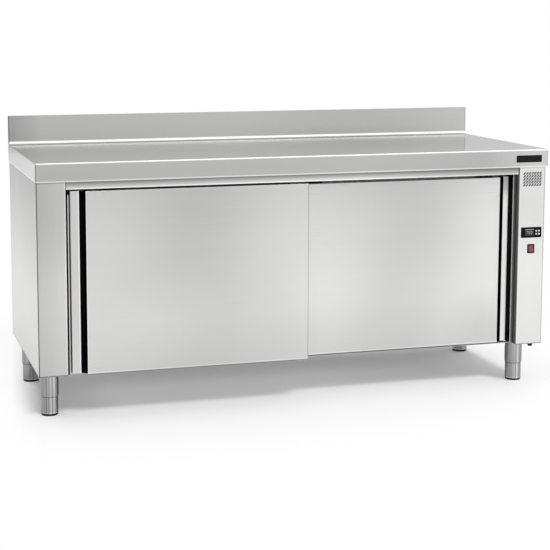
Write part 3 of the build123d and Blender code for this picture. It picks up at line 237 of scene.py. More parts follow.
# %% Paint the floor
FLOOR_WHITE, FLOOR_GLOW = 0.87, 0.16
# Painted shade: the white share seen directly rises towards the front and fades under the table and towards
# both ends.
PAINTED_SHADE_RISE = ((-0.46, -0.12), (0.07, 0.235))
PAINTED_SHADE_FADES = (
    ("Y", (0.02, 0.24), (1.0, 0.05)),
    ("X", (-0.80, -0.60), (0.05, 1.0)),
    ("X", (0.15, 0.60), (1.0, 0.55)),
)
PAINTED_LIGHT_SLANT, PAINTED_LIGHT_SPAN = -0.125, (-0.95, -0.85)
floor_paint = bpy.data.materials.new("floor_paint")
floor_paint.use_nodes = True
tree = floor_paint.node_tree
paint = tree.nodes["Principled BSDF"]
paint.inputs["Base Color"].default_value = (FLOOR_WHITE, FLOOR_WHITE, FLOOR_WHITE, 1)
paint.inputs["Roughness"].default_value = 0.9
paint.inputs["Specular IOR Level"].default_value = 0.0
glow = tree.nodes.new("ShaderNodeEmission")
floor_place = {axis: read_place(floor_paint, axis) for axis in ("X", "Y")}
painted_shade_glow = add_span(tree, floor_place["Y"], *PAINTED_SHADE_RISE)
for axis, span, result in PAINTED_SHADE_FADES:
    painted_shade_glow = combine(tree, painted_shade_glow, add_span(tree, floor_place[axis], span, result), "MULTIPLY")
# Painted light: a slanted band beside the left end whitens the shadow out into the background.
slant = tree.nodes.new("ShaderNodeMath")
slant.operation = "MULTIPLY_ADD"
slant.inputs[1].default_value = PAINTED_LIGHT_SLANT
wire(tree, (floor_place["Y"], slant.inputs[0]), (floor_place["X"], slant.inputs[2]))
painted_light_run_out = add_span(tree, slant.outputs[0], PAINTED_LIGHT_SPAN, (0.9, 0.0))
camera_ray = tree.nodes.new("ShaderNodeLightPath").outputs["Is Camera Ray"]
share = blend(
    tree,
    camera_ray,
    add_span(tree, rays_that_see(tree), (0, 1), (0, FLOOR_GLOW)),
    combine(tree, painted_shade_glow, painted_light_run_out, clamp=True),
)
mixed = tree.nodes.new("ShaderNodeMixShader")
wire(
    tree,
    (share, mixed.inputs[0]),
    (paint.outputs[0], mixed.inputs[1]),
    (glow.outputs[0], mixed.inputs[2]),
    (mixed.outputs[0], tree.nodes["Material Output"].inputs["Surface"]),
)
floor.data.materials.append(floor_paint)
print("floor painted with", len(tree.nodes), "nodes")

# %% [markdown]
# ## Tools for the finishes
# Every finish starts from one Principled shader. Patterns read Object coordinates, so they sit
# still on the metal when a door slides. A stretched noise makes brushed grain: long along one
# axis and a fraction of a millimetre across it.

# %% Helpers that start a finish and add patterns to it
def start_finish(name, metallic=0.0):
    finish = bpy.data.materials.new(name)
    finish.use_nodes = True
    shader = finish.node_tree.nodes["Principled BSDF"]
    shader.inputs["Metallic"].default_value = metallic
    return finish, shader


def add_noise(finish, scale, detail=2.0, roughness=0.5):
    nodes, links = finish.node_tree.nodes, finish.node_tree.links
    place = nodes.new("ShaderNodeTexCoord")
    stretch = nodes.new("ShaderNodeMapping")
    stretch.inputs["Scale"].default_value = scale
    noise = nodes.new("ShaderNodeTexNoise")
    noise.inputs["Scale"].default_value = 1.0
    noise.inputs["Detail"].default_value = detail
    noise.inputs["Roughness"].default_value = roughness
    links.new(place.outputs["Object"], stretch.inputs["Vector"])
    links.new(stretch.outputs["Vector"], noise.inputs["Vector"])
    return noise.outputs["Fac"]


def add_range(finish, value, low, high):
    return add_span(finish.node_tree, value, (0.3, 0.7), (low, high))


def add_colour(finish, value, dark, light):
    ramp = finish.node_tree.nodes.new("ShaderNodeValToRGB")
    ramp.color_ramp.elements[0].position = 0.3
    ramp.color_ramp.elements[0].color = (*dark, 1)
    ramp.color_ramp.elements[1].position = 0.7
    ramp.color_ramp.elements[1].color = (*light, 1)
    finish.node_tree.links.new(value, ramp.inputs["Fac"])
    return ramp.outputs["Color"]


def add_bump(finish, shader, height, strength, distance):
    bump = finish.node_tree.nodes.new("ShaderNodeBump")
    bump.inputs["Strength"].default_value = strength
    bump.inputs["Distance"].default_value = distance
    finish.node_tree.links.new(height, bump.inputs["Height"])
    finish.node_tree.links.new(bump.outputs["Normal"], shader.inputs["Normal"])


def add_tangent(finish, shader, across):
    brushed_across = finish.node_tree.nodes.new("ShaderNodeCombineXYZ")
    for axis in range(3):
        brushed_across.inputs[axis].default_value = across[axis]
    finish.node_tree.links.new(brushed_across.outputs[0], shader.inputs["Tangent"])


print("finish helpers ready")

# %% [markdown]
# ## Painted light and shade that follow the shape
# A long sheet is given a tone that drifts slowly from end to end, and a thin lighter or darker line along a
# tight bend and where two sheets meet. These are painted reflection, painted highlights and painted shade,
# standing for the light and shade that the room would put there. Both depend on the place on the piece, so they
# are worked out from its coordinates and multiplied into the colour. A line is named by two of its three
# coordinates, and None stands for the axis that it runs along.

# %% Helpers that shade a finish by place
def read_distance(finish, *line):
    nodes = finish.node_tree.nodes
    place = nodes.new("ShaderNodeTexCoord")
    flatten = nodes.new("ShaderNodeVectorMath")
    flatten.operation = "MULTIPLY"
    flatten.inputs[1].default_value = [0 if value is None else 1 for value in line]
    away = nodes.new("ShaderNodeVectorMath")
    away.operation = "DISTANCE"
    away.inputs[1].default_value = [value or 0 for value in line]
    wire(finish.node_tree, (place.outputs["Object"], flatten.inputs[0]), (flatten.outputs[0], away.inputs[0]))
    return away.outputs["Value"]


def multiply_colour(finish, tone):
    tree = finish.node_tree
    colour = tree.nodes["Principled BSDF"].inputs["Base Color"]
    scaled = tree.nodes.new("ShaderNodeVectorMath")
    scaled.operation = "SCALE"
    wire(
        tree,
        (colour.links[0].from_socket, scaled.inputs[0]),
        (tone, scaled.inputs["Scale"]),
        (scaled.outputs[0], colour),
    )


def shade(finish, value, span, result):
    multiply_colour(finish, add_span(finish.node_tree, value, span, result))


print("shading helpers ready")

# %% [markdown]
# ## Brushed stainless sheet
# The visible sheets are stainless steel brushed with a belt. The belt leaves fine parallel scratches, and light
# spreads mostly across them. The shader's anisotropy does that, and its tangent is turned across the grain.
# Three noises vary the sheet: fine scratches, wider streaks from the belt and large faint clouds from wiping,
# in colour, roughness and height. The strip at the outer edge of the right door takes the same scratches, but
# it is made pale and hardly metallic, as painted light, so that it stays bright in the shade of its recess. The
# column's sheet is given a much lighter grey than the other sheets of the same steel, also as painted light.

# %% One recipe for all brushed sheets
ALONG_X = {"fine": (2.5, 620, 620), "wide": (0.7, 38, 38), "across": (0, 1, 1)}
ALONG_Z = {"fine": (620, 620, 2.5), "wide": (38, 38, 0.7), "across": (1, 1, 0)}


def brushed_steel(name, grain, grey, roughness, anisotropy, edge_tint, metallic=1.0):
    finish, shader = start_finish(name, metallic)
    scratches = add_noise(finish, grain["fine"], detail=4, roughness=0.65)
    streaks = add_noise(finish, grain["wide"], detail=2)
    clouds = add_noise(finish, (1.7, 1.7, 1.7), detail=3)
    links = finish.node_tree.links
    tone = combine(
        finish.node_tree, add_range(finish, scratches, -0.04, 0.04), add_range(finish, streaks, 0.48, 0.52),
    )
    darker = [grey * 0.95 * c for c in (1.0, 0.995, 0.985)]
    lighter = [grey * 1.05 * c for c in (1.0, 1.0, 0.995)]
    links.new(add_colour(finish, tone, darker, lighter), shader.inputs["Base Color"])
    clouded = combine(
        finish.node_tree, add_range(finish, clouds, -0.015, 0.02),
        add_range(finish, scratches, roughness - 0.02, roughness + 0.02),
    )
    links.new(clouded, shader.inputs["Roughness"])
    add_bump(finish, shader, scratches, 0.05, 0.00002)
    shader.inputs["Anisotropic"].default_value = anisotropy
    shader.inputs["Specular Tint"].default_value = (edge_tint, edge_tint, edge_tint, 1)
    add_tangent(finish, shader, grain["across"])
    return finish


# Each sheet: grain, grey, roughness, anisotropy and tint at a glancing angle.
worktop_sheet = brushed_steel("worktop_brushed_steel", ALONG_X, 0.60, 0.14, 0.6, 0.80)
door_sheet = brushed_steel("door_brushed_steel", ALONG_X, 0.67, 0.30, 0.65, 0.9)
rail_sheet = brushed_steel("rail_brushed_steel", ALONG_X, 0.69, 0.30, 0.65, 0.9)
left_handle_sheet = brushed_steel("left_handle_brushed_steel", ALONG_Z, 0.66, 0.45, 0.3, 1.0)
# Painted light: the right door's strip is pale and hardly metallic, so it stays bright in its shaded recess.
right_handle_sheet = brushed_steel("right_handle_painted_light_strip", ALONG_Z, 0.98, 0.12, 0.0, 1.0, metallic=0.1)
left_sheet = brushed_steel("left_side_brushed_steel", ALONG_Z, 0.66, 0.22, 0.6, 1.0)
# Painted light: the column's grey is set well above the other sheets of the same steel.
column_sheet = brushed_steel("column_brushed_steel", ALONG_Z, 0.90, 0.22, 0.6, 1.0)
print("brushed sheets made, the first is", worktop_sheet.name)

# %% Paint highlights and shade along the bends
# Each painted mark: finish, piece, left or right side of its box, and tone; below 1 is painted shade, above 1 a
# painted highlight.
PAINTED_BEND_LINE = (0.0012, 0.0040)
painted_bend_lines = [
    (worktop_sheet, "worktop", 0, 0.50),
    (worktop_sheet, "worktop", 1, 0.40),
    (left_sheet, "left_side_panel", 0, 0.10),
    (column_sheet, "control_panel", 1, 0.50),
    (door_sheet, "left_door_front", 0, 1.35),
    (door_sheet, "left_door_front", 1, 0.50),
    (door_sheet, "right_door_front", 1, 1.45),
]
for finish, name, side, tone in painted_bend_lines:
    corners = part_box(name)
    shade(finish, read_distance(finish, corners[side].x, corners[0].y, None), PAINTED_BEND_LINE, (tone, 1.0))
# Painted highlights along the post's inner edge, the column's edge and the left strip's edge.
PAINTED_HIGHLIGHT_LINE = (0.0034, 0.0055)
POST_EDGE, COLUMN_EDGE, STRIP_EDGE = -0.803, 0.7945, -0.757
for finish, name, edge_x, tone in (
    (left_sheet, "left_side_panel", POST_EDGE, 1.22),
    (column_sheet, "control_panel", COLUMN_EDGE, 1.10),
    (left_handle_sheet, "left_door_handle", STRIP_EDGE, 1.50),
):
    shade(finish, read_distance(finish, edge_x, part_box(name)[0].y, None), PAINTED_HIGHLIGHT_LINE, (tone, 1.0))
top_low, top_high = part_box("worktop")
WORKTOP_HEIGHT, COVE_Y = 0.850, 0.335
# Painted highlights along the worktop's front bend and its cove.
for bend_y, reach, tone in ((top_low.y, (0.0030, 0.0060), 1.6), (COVE_Y, (0.0060, 0.0120), 1.5)):
    bend = read_distance(worktop_sheet, None, bend_y, WORKTOP_HEIGHT)
    shade(worktop_sheet, bend, reach, (tone, 1.0))
# Painted light: the worktop's left end face is made a little lighter.
shade(worktop_sheet, read_place(worktop_sheet, "X"), (top_low.x + 0.0002, top_low.x + 0.0010), (1.10, 1.0))
print("shaded", len(painted_bend_lines), "bends")

# %% Paint shade and highlights along the lower edges
# Painted shade: a dark mark along the lower edges of the left post, the column and the doors.
PAINTED_EDGE_LINE = (0.0020, 0.0045)
APRON_LOWER = 0.788
for finish, name, dark in (
    (left_sheet, "left_side_panel", 0.40),
    (column_sheet, "control_panel", 0.40),
    (door_sheet, "left_door_front", 0.22),
):
    lower_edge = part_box(name)[0].z
    shade(finish, read_place(finish, "Z"), [lower_edge + line for line in PAINTED_EDGE_LINE], (dark, 1.0))
# The doors were the last in that list, and a painted highlight runs above their painted dark mark.
shade(door_sheet, read_place(door_sheet, "Z"), (lower_edge + 0.0065, lower_edge + 0.0085), (1.22, 1.0))
# Painted highlights on the apron's hem and the rail's lower edge; painted shade on the uprights and the rail
# under the apron.
for finish, height, tone in (
    (worktop_sheet, (APRON_LOWER + 0.0025, APRON_LOWER + 0.005), (1.65, 1.0)),
    (left_sheet, (APRON_LOWER - 0.006, APRON_LOWER - 0.002), (1.0, 0.60)),
    (column_sheet, (APRON_LOWER - 0.006, APRON_LOWER - 0.002), (1.0, 0.75)),
    (rail_sheet, (APRON_LOWER - 0.020, APRON_LOWER - 0.003), (1.0, 0.36)),
    (rail_sheet, (APRON_LOWER - 0.0225, APRON_LOWER - 0.020), (1.45, 1.0)),
):
    shade(finish, read_place(finish, "Z"), height, tone)
print("shaded the edges down to", round(lower_edge, 3), "m")

# %% Shade the rail
# Painted shade at the rail's two ends, where it meets the post and the column.
RAIL_END_LINE = (0.0015, 0.0035)
rail_low, rail_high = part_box("front_rail")
for end, tone in ((rail_low.x, 0.55), (rail_high.x, 0.10)):
    inward = 1 if end < 0 else -1
    shade(rail_sheet, read_place(rail_sheet, "X"), [end + inward * line for line in RAIL_END_LINE], (tone, 1.0))
# Painted shade: the rail darker towards its right end and a little lighter in the middle.
shade(rail_sheet, read_place(rail_sheet, "X"), (0.20, 0.75), (1.0, 0.78))
shade(rail_sheet, read_distance(rail_sheet, 0.05, None, None), (0.15, 0.55), (1.06, 0.98))
print("shaded the rail from", round(rail_low.x, 3), "to", round(rail_high.x, 3), "m")

# %% Paint shade on the uprights
# Painted shade: the column darker low down, the post's front darker low and towards its outer corner, the left
# side darker towards the top.
shade(column_sheet, read_place(column_sheet, "Z"), (0.35, 0.72), (0.82, 1.0))
tree = left_sheet.node_tree
side_low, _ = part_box("left_side_panel")
front_painted_tone = combine(
    tree,
    add_span(tree, read_place(left_sheet, "Z"), (0.16, 0.62), (0.80, 1.0)),
    add_span(tree, read_place(left_sheet, "X"), (side_low.x, POST_EDGE), (0.92, 1.10)),
    "MULTIPLY",
)
side_painted_tone = add_span(tree, read_place(left_sheet, "Z"), (0.42, 0.78), (1.02, 0.54))
behind_front = add_span(tree, read_place(left_sheet, "Y"), (side_low.y + 0.0005, side_low.y + 0.002), (0, 1))
multiply_colour(left_sheet, blend(tree, behind_front, front_painted_tone, side_painted_tone))
print("uprights drift with height")

# %% Paint light and shade on the worktop
tree = worktop_sheet.node_tree
# Painted light and shade: the apron a little darker towards the middle right and lighter at its right end, the
# top lighter at the front left and darker at the back right, the upstand darker at its left end.
apron_painted_tone = combine(
    tree,
    add_span(tree, read_place(worktop_sheet, "X"), (0.20, 0.60), (1.03, 0.95)),
    add_span(tree, read_place(worktop_sheet, "X"), (0.66, 0.84), (1.0, 1.26)),
    "MULTIPLY",
)
behind_front = add_span(tree, read_place(worktop_sheet, "Y"), (top_low.y + 0.0005, top_low.y + 0.002), (0, 1))
top_painted_tone = combine(
    tree,
    add_span(tree, read_distance(worktop_sheet, -0.70, -0.22, None), (0.10, 0.50), (1.09, 1.0)),
    add_span(tree, read_distance(worktop_sheet, 0.45, 0.24, None), (0.10, 0.50), (0.90, 1.0)),
    "MULTIPLY",
)
front_painted_tone = add_span(tree, read_place(worktop_sheet, "Y"), (-0.32, 0.0), (1.10, 1.0))
top_painted_tone = combine(tree, top_painted_tone, front_painted_tone, "MULTIPLY")
multiply_colour(worktop_sheet, blend(tree, behind_front, apron_painted_tone, top_painted_tone))
upstand_painted_shade = add_span(tree, read_place(worktop_sheet, "X"), (top_low.x, top_low.x + 0.12), (0.74, 1.0))
above_cove = (WORKTOP_HEIGHT + 0.012, WORKTOP_HEIGHT + 0.016)
on_upstand = add_span(tree, read_place(worktop_sheet, "Z"), above_cove, (0, 1))
multiply_colour(worktop_sheet, blend(tree, on_upstand, 1.0, upstand_painted_shade))
# Painted shade along the upstand's two ends and the worktop's right end.
for end_x in (top_low.x, top_high.x):
    shade(worktop_sheet, read_distance(worktop_sheet, end_x, COVE_Y, None), PAINTED_BEND_LINE, (0.40, 1.0))
shade(worktop_sheet, read_distance(worktop_sheet, top_high.x, None, WORKTOP_HEIGHT), PAINTED_BEND_LINE, (0.65, 1.0))
print("worktop drifts along its length")

# %% Paint reflection bands on the doors
# Painted reflection: each door darker across its middle and lighter at its ends, darker at the top and near the
# bottom, lighter towards the right.
DOOR_MIDDLE, DOOR_PERIOD = 0.382, 0.767
swell = door_sheet.node_tree.nodes.new("ShaderNodeMath")
swell.operation = "MULTIPLY_ADD"
swell.inputs[1].default_value = 2 * math.pi / DOOR_PERIOD
swell.inputs[2].default_value = -2 * math.pi * DOOR_MIDDLE / DOOR_PERIOD
wave = door_sheet.node_tree.nodes.new("ShaderNodeMath")
wave.operation = "COSINE"
wire(door_sheet.node_tree, (read_place(door_sheet, "X"), swell.inputs[0]), (swell.outputs[0], wave.inputs[0]))
shade(door_sheet, wave.outputs[0], (-1, 1), (1.03, 0.88))
for height, tone in (((0.60, 0.75), (1.0, 0.93)), ((0.16, 0.32), (0.92, 1.0))):
    shade(door_sheet, read_place(door_sheet, "Z"), height, tone)
shade(door_sheet, read_place(door_sheet, "X"), (-0.10, 0.75), (1.0, 1.10))
print("door tone drifts over", DOOR_PERIOD, "m")

# %% Paint soft spots of light and shade on the doors
# Each painted spot: its middle across and up, its reach, and its tone.
CLOUD_CORE = 0.04
PAINTED_SHADE_CLOUDS = (
    (0.70, 0.20, 0.17, 0.87),
    (0.47, 0.61, 0.22, 0.92),
    (0.13, 0.40, 0.20, 1.07),
    (-0.36, 0.63, 0.22, 0.95),
    (-0.47, 0.29, 0.22, 1.085),
    (-0.06, 0.22, 0.18, 0.955),
)
for x, z, reach, tone in PAINTED_SHADE_CLOUDS:
    shade(door_sheet, read_distance(door_sheet, x, None, z), (CLOUD_CORE, reach), (tone, 1.0))
print("clouded", len(PAINTED_SHADE_CLOUDS), "clouds on the doors")

# %% [markdown]
# ## Plain mill sheet
# Panels inside the cupboard and under it are left as they come from the mill: a dull even grey with
# faint rolling marks and a soft mottle. Its rough skin scatters part of the light, so it is made less
# metallic than the brushed sheet, and it has no anisotropy.

# %% Mill finish for the inside and the underside
def mill_steel(name, grey, roughness):
    finish, shader = start_finish(name, metallic=0.6)
    mottle = add_noise(finish, (60, 60, 60), detail=4, roughness=0.6)
    rolling = add_noise(finish, (3, 160, 160), detail=2)
    tone = combine(
        finish.node_tree, add_range(finish, mottle, -0.08, 0.08), add_range(finish, rolling, 0.44, 0.56),
    )
    links = finish.node_tree.links
    darker, lighter = [grey * c for c in (0.92, 0.92, 0.91)], [grey * c for c in (1.06, 1.06, 1.05)]
    links.new(add_colour(finish, tone, darker, lighter), shader.inputs["Base Color"])
    links.new(add_range(finish, mottle, roughness - 0.05, roughness + 0.06), shader.inputs["Roughness"])
    add_bump(finish, shader, mottle, 0.08, 0.0001)
    return finish


inner_sheet = mill_steel("chamber_mill_steel", 0.60, 0.36)
outer_sheet = mill_steel("underside_mill_steel", 0.58, 0.40)
print("mill sheets:", inner_sheet.name, outer_sheet.name)

# %% [markdown]
# ## Bright tube, zinc and the heater
# The legs are drawn tube, polished in strokes along their length, which leaves fine marks along it. Their
# colour is kept darker than bare steel, as painted shade for the darker room that they mirror, and lighter and
# darker bands are painted along them as painted reflection. Tracks and hangers are pressed from zinc-plated
# steel, which has a bluish grey and cloudy spangle, and the hangers' feet are painted black, as painted shade
# in the gap above the doors. The heater's sheath has been red hot, so straw and blue tints wander over a dark
# oxide. Painted stripes would need a picture wrapped round each tube. The distance from a line on the tube
# gives the same band without one.

# %% Bright tube
bright_tube, shader = start_finish("bright_drawn_tube", metallic=1.0)
drawing_lines = add_noise(bright_tube, (230, 230, 2), detail=3)
polish = add_noise(bright_tube, (14, 14, 14), detail=3)
links = bright_tube.node_tree.links
# Painted shade: the tube's colour is kept darker than bare steel.
links.new(add_colour(bright_tube, drawing_lines, (0.22,) * 3, (0.42,) * 3), shader.inputs["Base Color"])
links.new(add_range(bright_tube, polish, 0.08, 0.14), shader.inputs["Roughness"])
add_bump(bright_tube, shader, drawing_lines, 0.06, 0.00005)
print("tube finish made:", bright_tube.name)

# %% Paint reflection bands and rings on the legs
# Each painted band: its direction from the middle of the leg, across and ahead, and its tone.
LEG_Y, TUBE_RADIUS = -0.230, 0.0298
LIGHT_BAND, DARK_BAND, STEP_LINE = (0.0015, 0.0045), (0.0040, 0.0085), (0.0008, 0.0022)
PAINTED_REFLECTION_BANDS = {
    -0.8490: [(0.008, -1.000, 1.6), (0.394, -0.919, 1.9), (0.868, -0.496, 0.10)],
    0.8435: [(-0.316, -0.949, 1.8), (0.074, -0.997, 2.1), (-0.987, 0.158, 0.15)],
}
for leg_x, bands in PAINTED_REFLECTION_BANDS.items():
    for across, ahead, tone in bands:
        band = read_distance(bright_tube, leg_x + across * TUBE_RADIUS, LEG_Y + ahead * TUBE_RADIUS, None)
        shade(bright_tube, band, LIGHT_BAND if tone > 1 else DARK_BAND, (tone, 1.0))
# Painted shade at the step below the sleeve, and a painted highlight ring just above the foot pad.
shade(bright_tube, read_distance(bright_tube, None, None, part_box("leg_sleeves")[0].z), STEP_LINE, (0.45, 1.0))
pad_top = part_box("foot_front_left")[0].z
shade(bright_tube, read_place(bright_tube, "Z"), (pad_top + 0.003, pad_top + 0.006), (1.7, 1.0))
print("bands polished on", len(PAINTED_REFLECTION_BANDS), "front legs")

# %% Zinc plate and the heat-tinted sheath
zinc_plate, shader = start_finish("zinc_plate", metallic=1.0)
spangle = add_noise(zinc_plate, (90, 90, 90), detail=1)
links = zinc_plate.node_tree.links
links.new(add_colour(zinc_plate, spangle, (0.44, 0.46, 0.49), (0.60, 0.62, 0.65)), shader.inputs["Base Color"])
links.new(add_range(zinc_plate, spangle, 0.30, 0.46), shader.inputs["Roughness"])
add_bump(zinc_plate, shader, spangle, 0.08, 0.0002)
# Painted shade: the zinc below the tracks, the hangers' feet, is made almost black.
PAINTED_SHADE_BELOW = (0.760, 0.768)
shade(zinc_plate, read_place(zinc_plate, "Z"), PAINTED_SHADE_BELOW, (0.06, 1.0))

heater_sheath, shader = start_finish("heat_tinted_sheath", metallic=1.0)
tint = add_noise(heater_sheath, (26, 26, 26), detail=3)
links = heater_sheath.node_tree.links
links.new(add_colour(heater_sheath, tint, (0.10, 0.095, 0.12), (0.30, 0.22, 0.14)), shader.inputs["Base Color"])
links.new(add_range(heater_sheath, tint, 0.34, 0.52), shader.inputs["Roughness"])
add_bump(heater_sheath, shader, add_noise(heater_sheath, (700, 700, 700)), 0.2, 0.0002)
print("zinc and heater finishes made")

# %% [markdown]
# ## Moulded plastics and rubber
# The controller's case, the switch, the gland and the stops are moulded. Spark-eroded moulds leave
# a fine grain, which a small-scale noise gives as bump, with a little change of gloss from handling.
# The display window is smooth and dark, and the rocker is clear red plastic over a lamp.

# %% Moulded finishes
def moulded(name, colour, gloss_low, gloss_high, grain_size=2600, grain_depth=0.00005, shine=0.5):
    finish, shader = start_finish(name)
    shader.inputs["Specular IOR Level"].default_value = shine
    grain = add_noise(finish, (grain_size,) * 3, detail=2)
    handling = add_noise(finish, (45, 45, 45), detail=3)
    links = finish.node_tree.links
    links.new(
        add_colour(finish, handling, [c * 0.88 for c in colour], [min(1, c * 1.12) for c in colour]),
        shader.inputs["Base Color"],
    )
    links.new(add_range(finish, handling, gloss_low, gloss_high), shader.inputs["Roughness"])
    add_bump(finish, shader, grain, 0.25, grain_depth)
    return finish


case_plastic = moulded("controller_case_plastic", (0.004, 0.004, 0.005), 0.32, 0.44, shine=0.06)
soft_plastic = moulded("gland_and_stop_plastic", (0.006, 0.006, 0.007), 0.45, 0.60, shine=0.06)
key_plastic = moulded("white_key_plastic", (0.55, 0.55, 0.54), 0.35, 0.45)
pad_rubber = moulded("foot_pad_rubber", (0.008, 0.008, 0.009), 0.60, 0.75, 900, 0.0001, shine=0.15)
roller_nylon = moulded("roller_nylon", (0.62, 0.60, 0.55), 0.38, 0.50)
window_plastic = moulded("display_window_plastic", (0.014, 0.015, 0.015), 0.10, 0.16, 4000, 0.000005)
rocker_plastic = moulded("clear_red_rocker", (0.21, 0.040, 0.068), 0.25, 0.35, 3000, 0.00001)
shader = rocker_plastic.node_tree.nodes["Principled BSDF"]
shader.inputs["Subsurface Weight"].default_value = 0.25
shader.inputs["Subsurface Radius"].default_value = (0.004, 0.001, 0.001)
print("moulded finishes made")

# %% [markdown]
# ## Mineral wool and motor enamel
# Between the skins sit boards of pressed mineral wool, a yellowish felt of fibres. Modelling fibres would
# take millions of hairs, so a fine flattened noise stands for them in colour and bump. The fan motor's
# can is sprayed with a dark grey enamel whose surface shows a little orange peel.

# %% Wool board and enamel
wool_board, shader = start_finish("mineral_wool_board")
fibres = add_noise(wool_board, (240, 240, 900), detail=6, roughness=0.7)
tufts = add_noise(wool_board, (30, 30, 30), detail=3)
links = wool_board.node_tree.links
felt = combine(
    wool_board.node_tree, add_range(wool_board, fibres, 0.2, 0.5), add_range(wool_board, tufts, 0.0, 0.3),
)
links.new(add_colour(wool_board, felt, (0.33, 0.29, 0.17), (0.58, 0.53, 0.36)), shader.inputs["Base Color"])
links.new(add_range(wool_board, fibres, 0.85, 0.98), shader.inputs["Roughness"])
add_bump(wool_board, shader, fibres, 0.6, 0.0015)

motor_enamel = moulded("motor_enamel", (0.055, 0.058, 0.062), 0.30, 0.42, 350, 0.0001)
print("wool board and motor enamel made")

# %% [markdown]
# ## Dressing the pieces
# Each piece of the model gets the finish that its maker would have bought the sheet in. The list is
# kept by finish, and a piece that is missing from it would stop the lesson here.

# %% Give every piece its finish
DOORS = ("left_door", "right_door")
CORNERS = ("front_left", "front_right", "back_left", "back_right")
wardrobe = {
    worktop_sheet: ["worktop"],
    door_sheet: [f"{door}_{part}" for door in DOORS for part in ("front", "back")],
    left_handle_sheet: ["left_door_handle"],
    right_handle_sheet: ["right_door_handle"],
    rail_sheet: ["front_rail"],
    left_sheet: ["left_side_panel", "right_side_panel"],
    column_sheet: ["control_panel"],
    inner_sheet: ["left_liner", "right_liner", "back_liner", "chamber_floor", "chamber_ceiling", "shelf",
                  "shelf_supports", "air_baffle", "fan_impeller", "temperature_probe"],
    outer_sheet: ["back_panel", "base_tray", "worktop_stiffeners", "track_carrier", "floor_guide"],
    bright_tube: ["leg_sleeves", *(f"foot_{corner}" for corner in CORNERS)],
    zinc_plate: ["front_track", "rear_track", *(f"{door}_hangers" for door in DOORS)],
    heater_sheath: ["heating_element"],
    case_plastic: ["controller_housing", "switch_housing"],
    soft_plastic: ["cable_gland", "track_stops", *(f"{door}_guide" for door in DOORS)],
    key_plastic: [f"button_{number}" for number in (1, 2, 3, 4)],
    pad_rubber: [f"foot_pad_{corner}" for corner in CORNERS],
    roller_nylon: [f"{door}_roller_{side}" for door in DOORS for side in ("outer", "inner")],
    window_plastic: ["controller_window"],
    rocker_plastic: ["switch_rocker"],
    wool_board: ["insulation", *(f"{door}_core" for door in DOORS)],
    motor_enamel: ["fan_motor"],
}
dressed = {name: finish for finish, names in wardrobe.items() for name in names}
for name, piece in steelwork.items():
    for material_slot in piece.material_slots:
        material_slot.material = dressed[name]
print("dressed", len(dressed), "pieces in", len(wardrobe), "finishes")

# %% [markdown]
# ## Tools for modelling by hand
# Small fittings are modelled with the same operators that a person uses in the window. An operator
# works on whatever is selected, so everything is let go first, and faces or edges are then picked
# in code by where they are or which way they face.

# %% Helpers that start a box and pick its faces and edges
def let_go():
    bpy.ops.object.select_all(action="DESELECT")


def start_box(name, place, size):
    let_go()
    bpy.ops.mesh.primitive_cube_add(size=1, location=place)
    box = bpy.context.object
    box.name = name
    box.scale = size
    bpy.ops.object.transform_apply(location=True, rotation=True, scale=True)
    return box


def pick_faces(piece, wanted):
    bpy.ops.object.mode_set(mode="EDIT")
    bpy.ops.mesh.select_mode(type="FACE")
    bpy.ops.mesh.select_all(action="DESELECT")
    bpy.ops.object.mode_set(mode="OBJECT")
    for face in piece.data.polygons:
        face.select = wanted(face.center, face.normal)
    bpy.ops.object.mode_set(mode="EDIT")


def pick_edges(piece, wanted):
    bpy.ops.object.mode_set(mode="EDIT")
    bpy.ops.mesh.select_mode(type="EDGE")
    bpy.ops.mesh.select_all(action="DESELECT")
    bpy.ops.object.mode_set(mode="OBJECT")
    points = piece.data.vertices
    for edge in piece.data.edges:
        edge.select = wanted(*(points[i].co for i in edge.vertices))
    bpy.ops.object.mode_set(mode="EDIT")


def settle(piece):
    bpy.ops.object.mode_set(mode="OBJECT")
    bpy.ops.object.transform_apply(location=True, rotation=True, scale=True)
    bpy.ops.object.shade_smooth_by_angle(angle=math.radians(35))
    piece.select_set(False)


print("modelling helpers ready")

# %% [markdown]
# ## The plate on the apron
# A small blank plate of black plastic is stuck on the apron over the control column. It starts as a box
# at its real size. Its four corners are rounded, the rim is softened and the field is sunk a little,
# as on a moulded plate. A patch of black on the steel would be quicker, but would have no rim to catch
# the light.

# %% Model the blank plate
PLATE_WIDTH, PLATE_HEIGHT, PLATE_THICK = 0.097, 0.025, 0.0009
PLATE_X, PLATE_Z = 0.8265, 0.8175
PLATE_CORNER, PLATE_RIM = 0.0025, 0.00025
FIELD_MARGIN, FIELD_STEP, FIELD_SUNK = 0.0011, 0.0002, 0.00025
apron_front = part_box("worktop")[0].y
plate = start_box(
    "blank_plate",
    (PLATE_X, apron_front - PLATE_THICK / 2, PLATE_Z),
    (PLATE_WIDTH, PLATE_THICK, PLATE_HEIGHT),
)
pick_edges(plate, lambda a, b: abs(a.y - b.y) > PLATE_THICK / 2)
bpy.ops.mesh.bevel(offset=PLATE_CORNER, segments=4, affect="EDGES")
pick_faces(plate, lambda centre, normal: normal.y < -0.9)
bpy.ops.mesh.bevel(offset=PLATE_RIM, segments=2, affect="EDGES")
pick_faces(plate, lambda centre, normal: normal.y < -0.99)
bpy.ops.mesh.inset(thickness=FIELD_MARGIN, depth=0.0)
bpy.ops.mesh.inset(thickness=FIELD_STEP, depth=-FIELD_SUNK)
settle(plate)
plate_black = moulded("plate_black", (0.005, 0.005, 0.006), 0.28, 0.40, shine=0.15)
plate.data.materials.append(plate_black)
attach(plate, "cabinet")
print("plate has", len(plate.data.polygons), "faces")
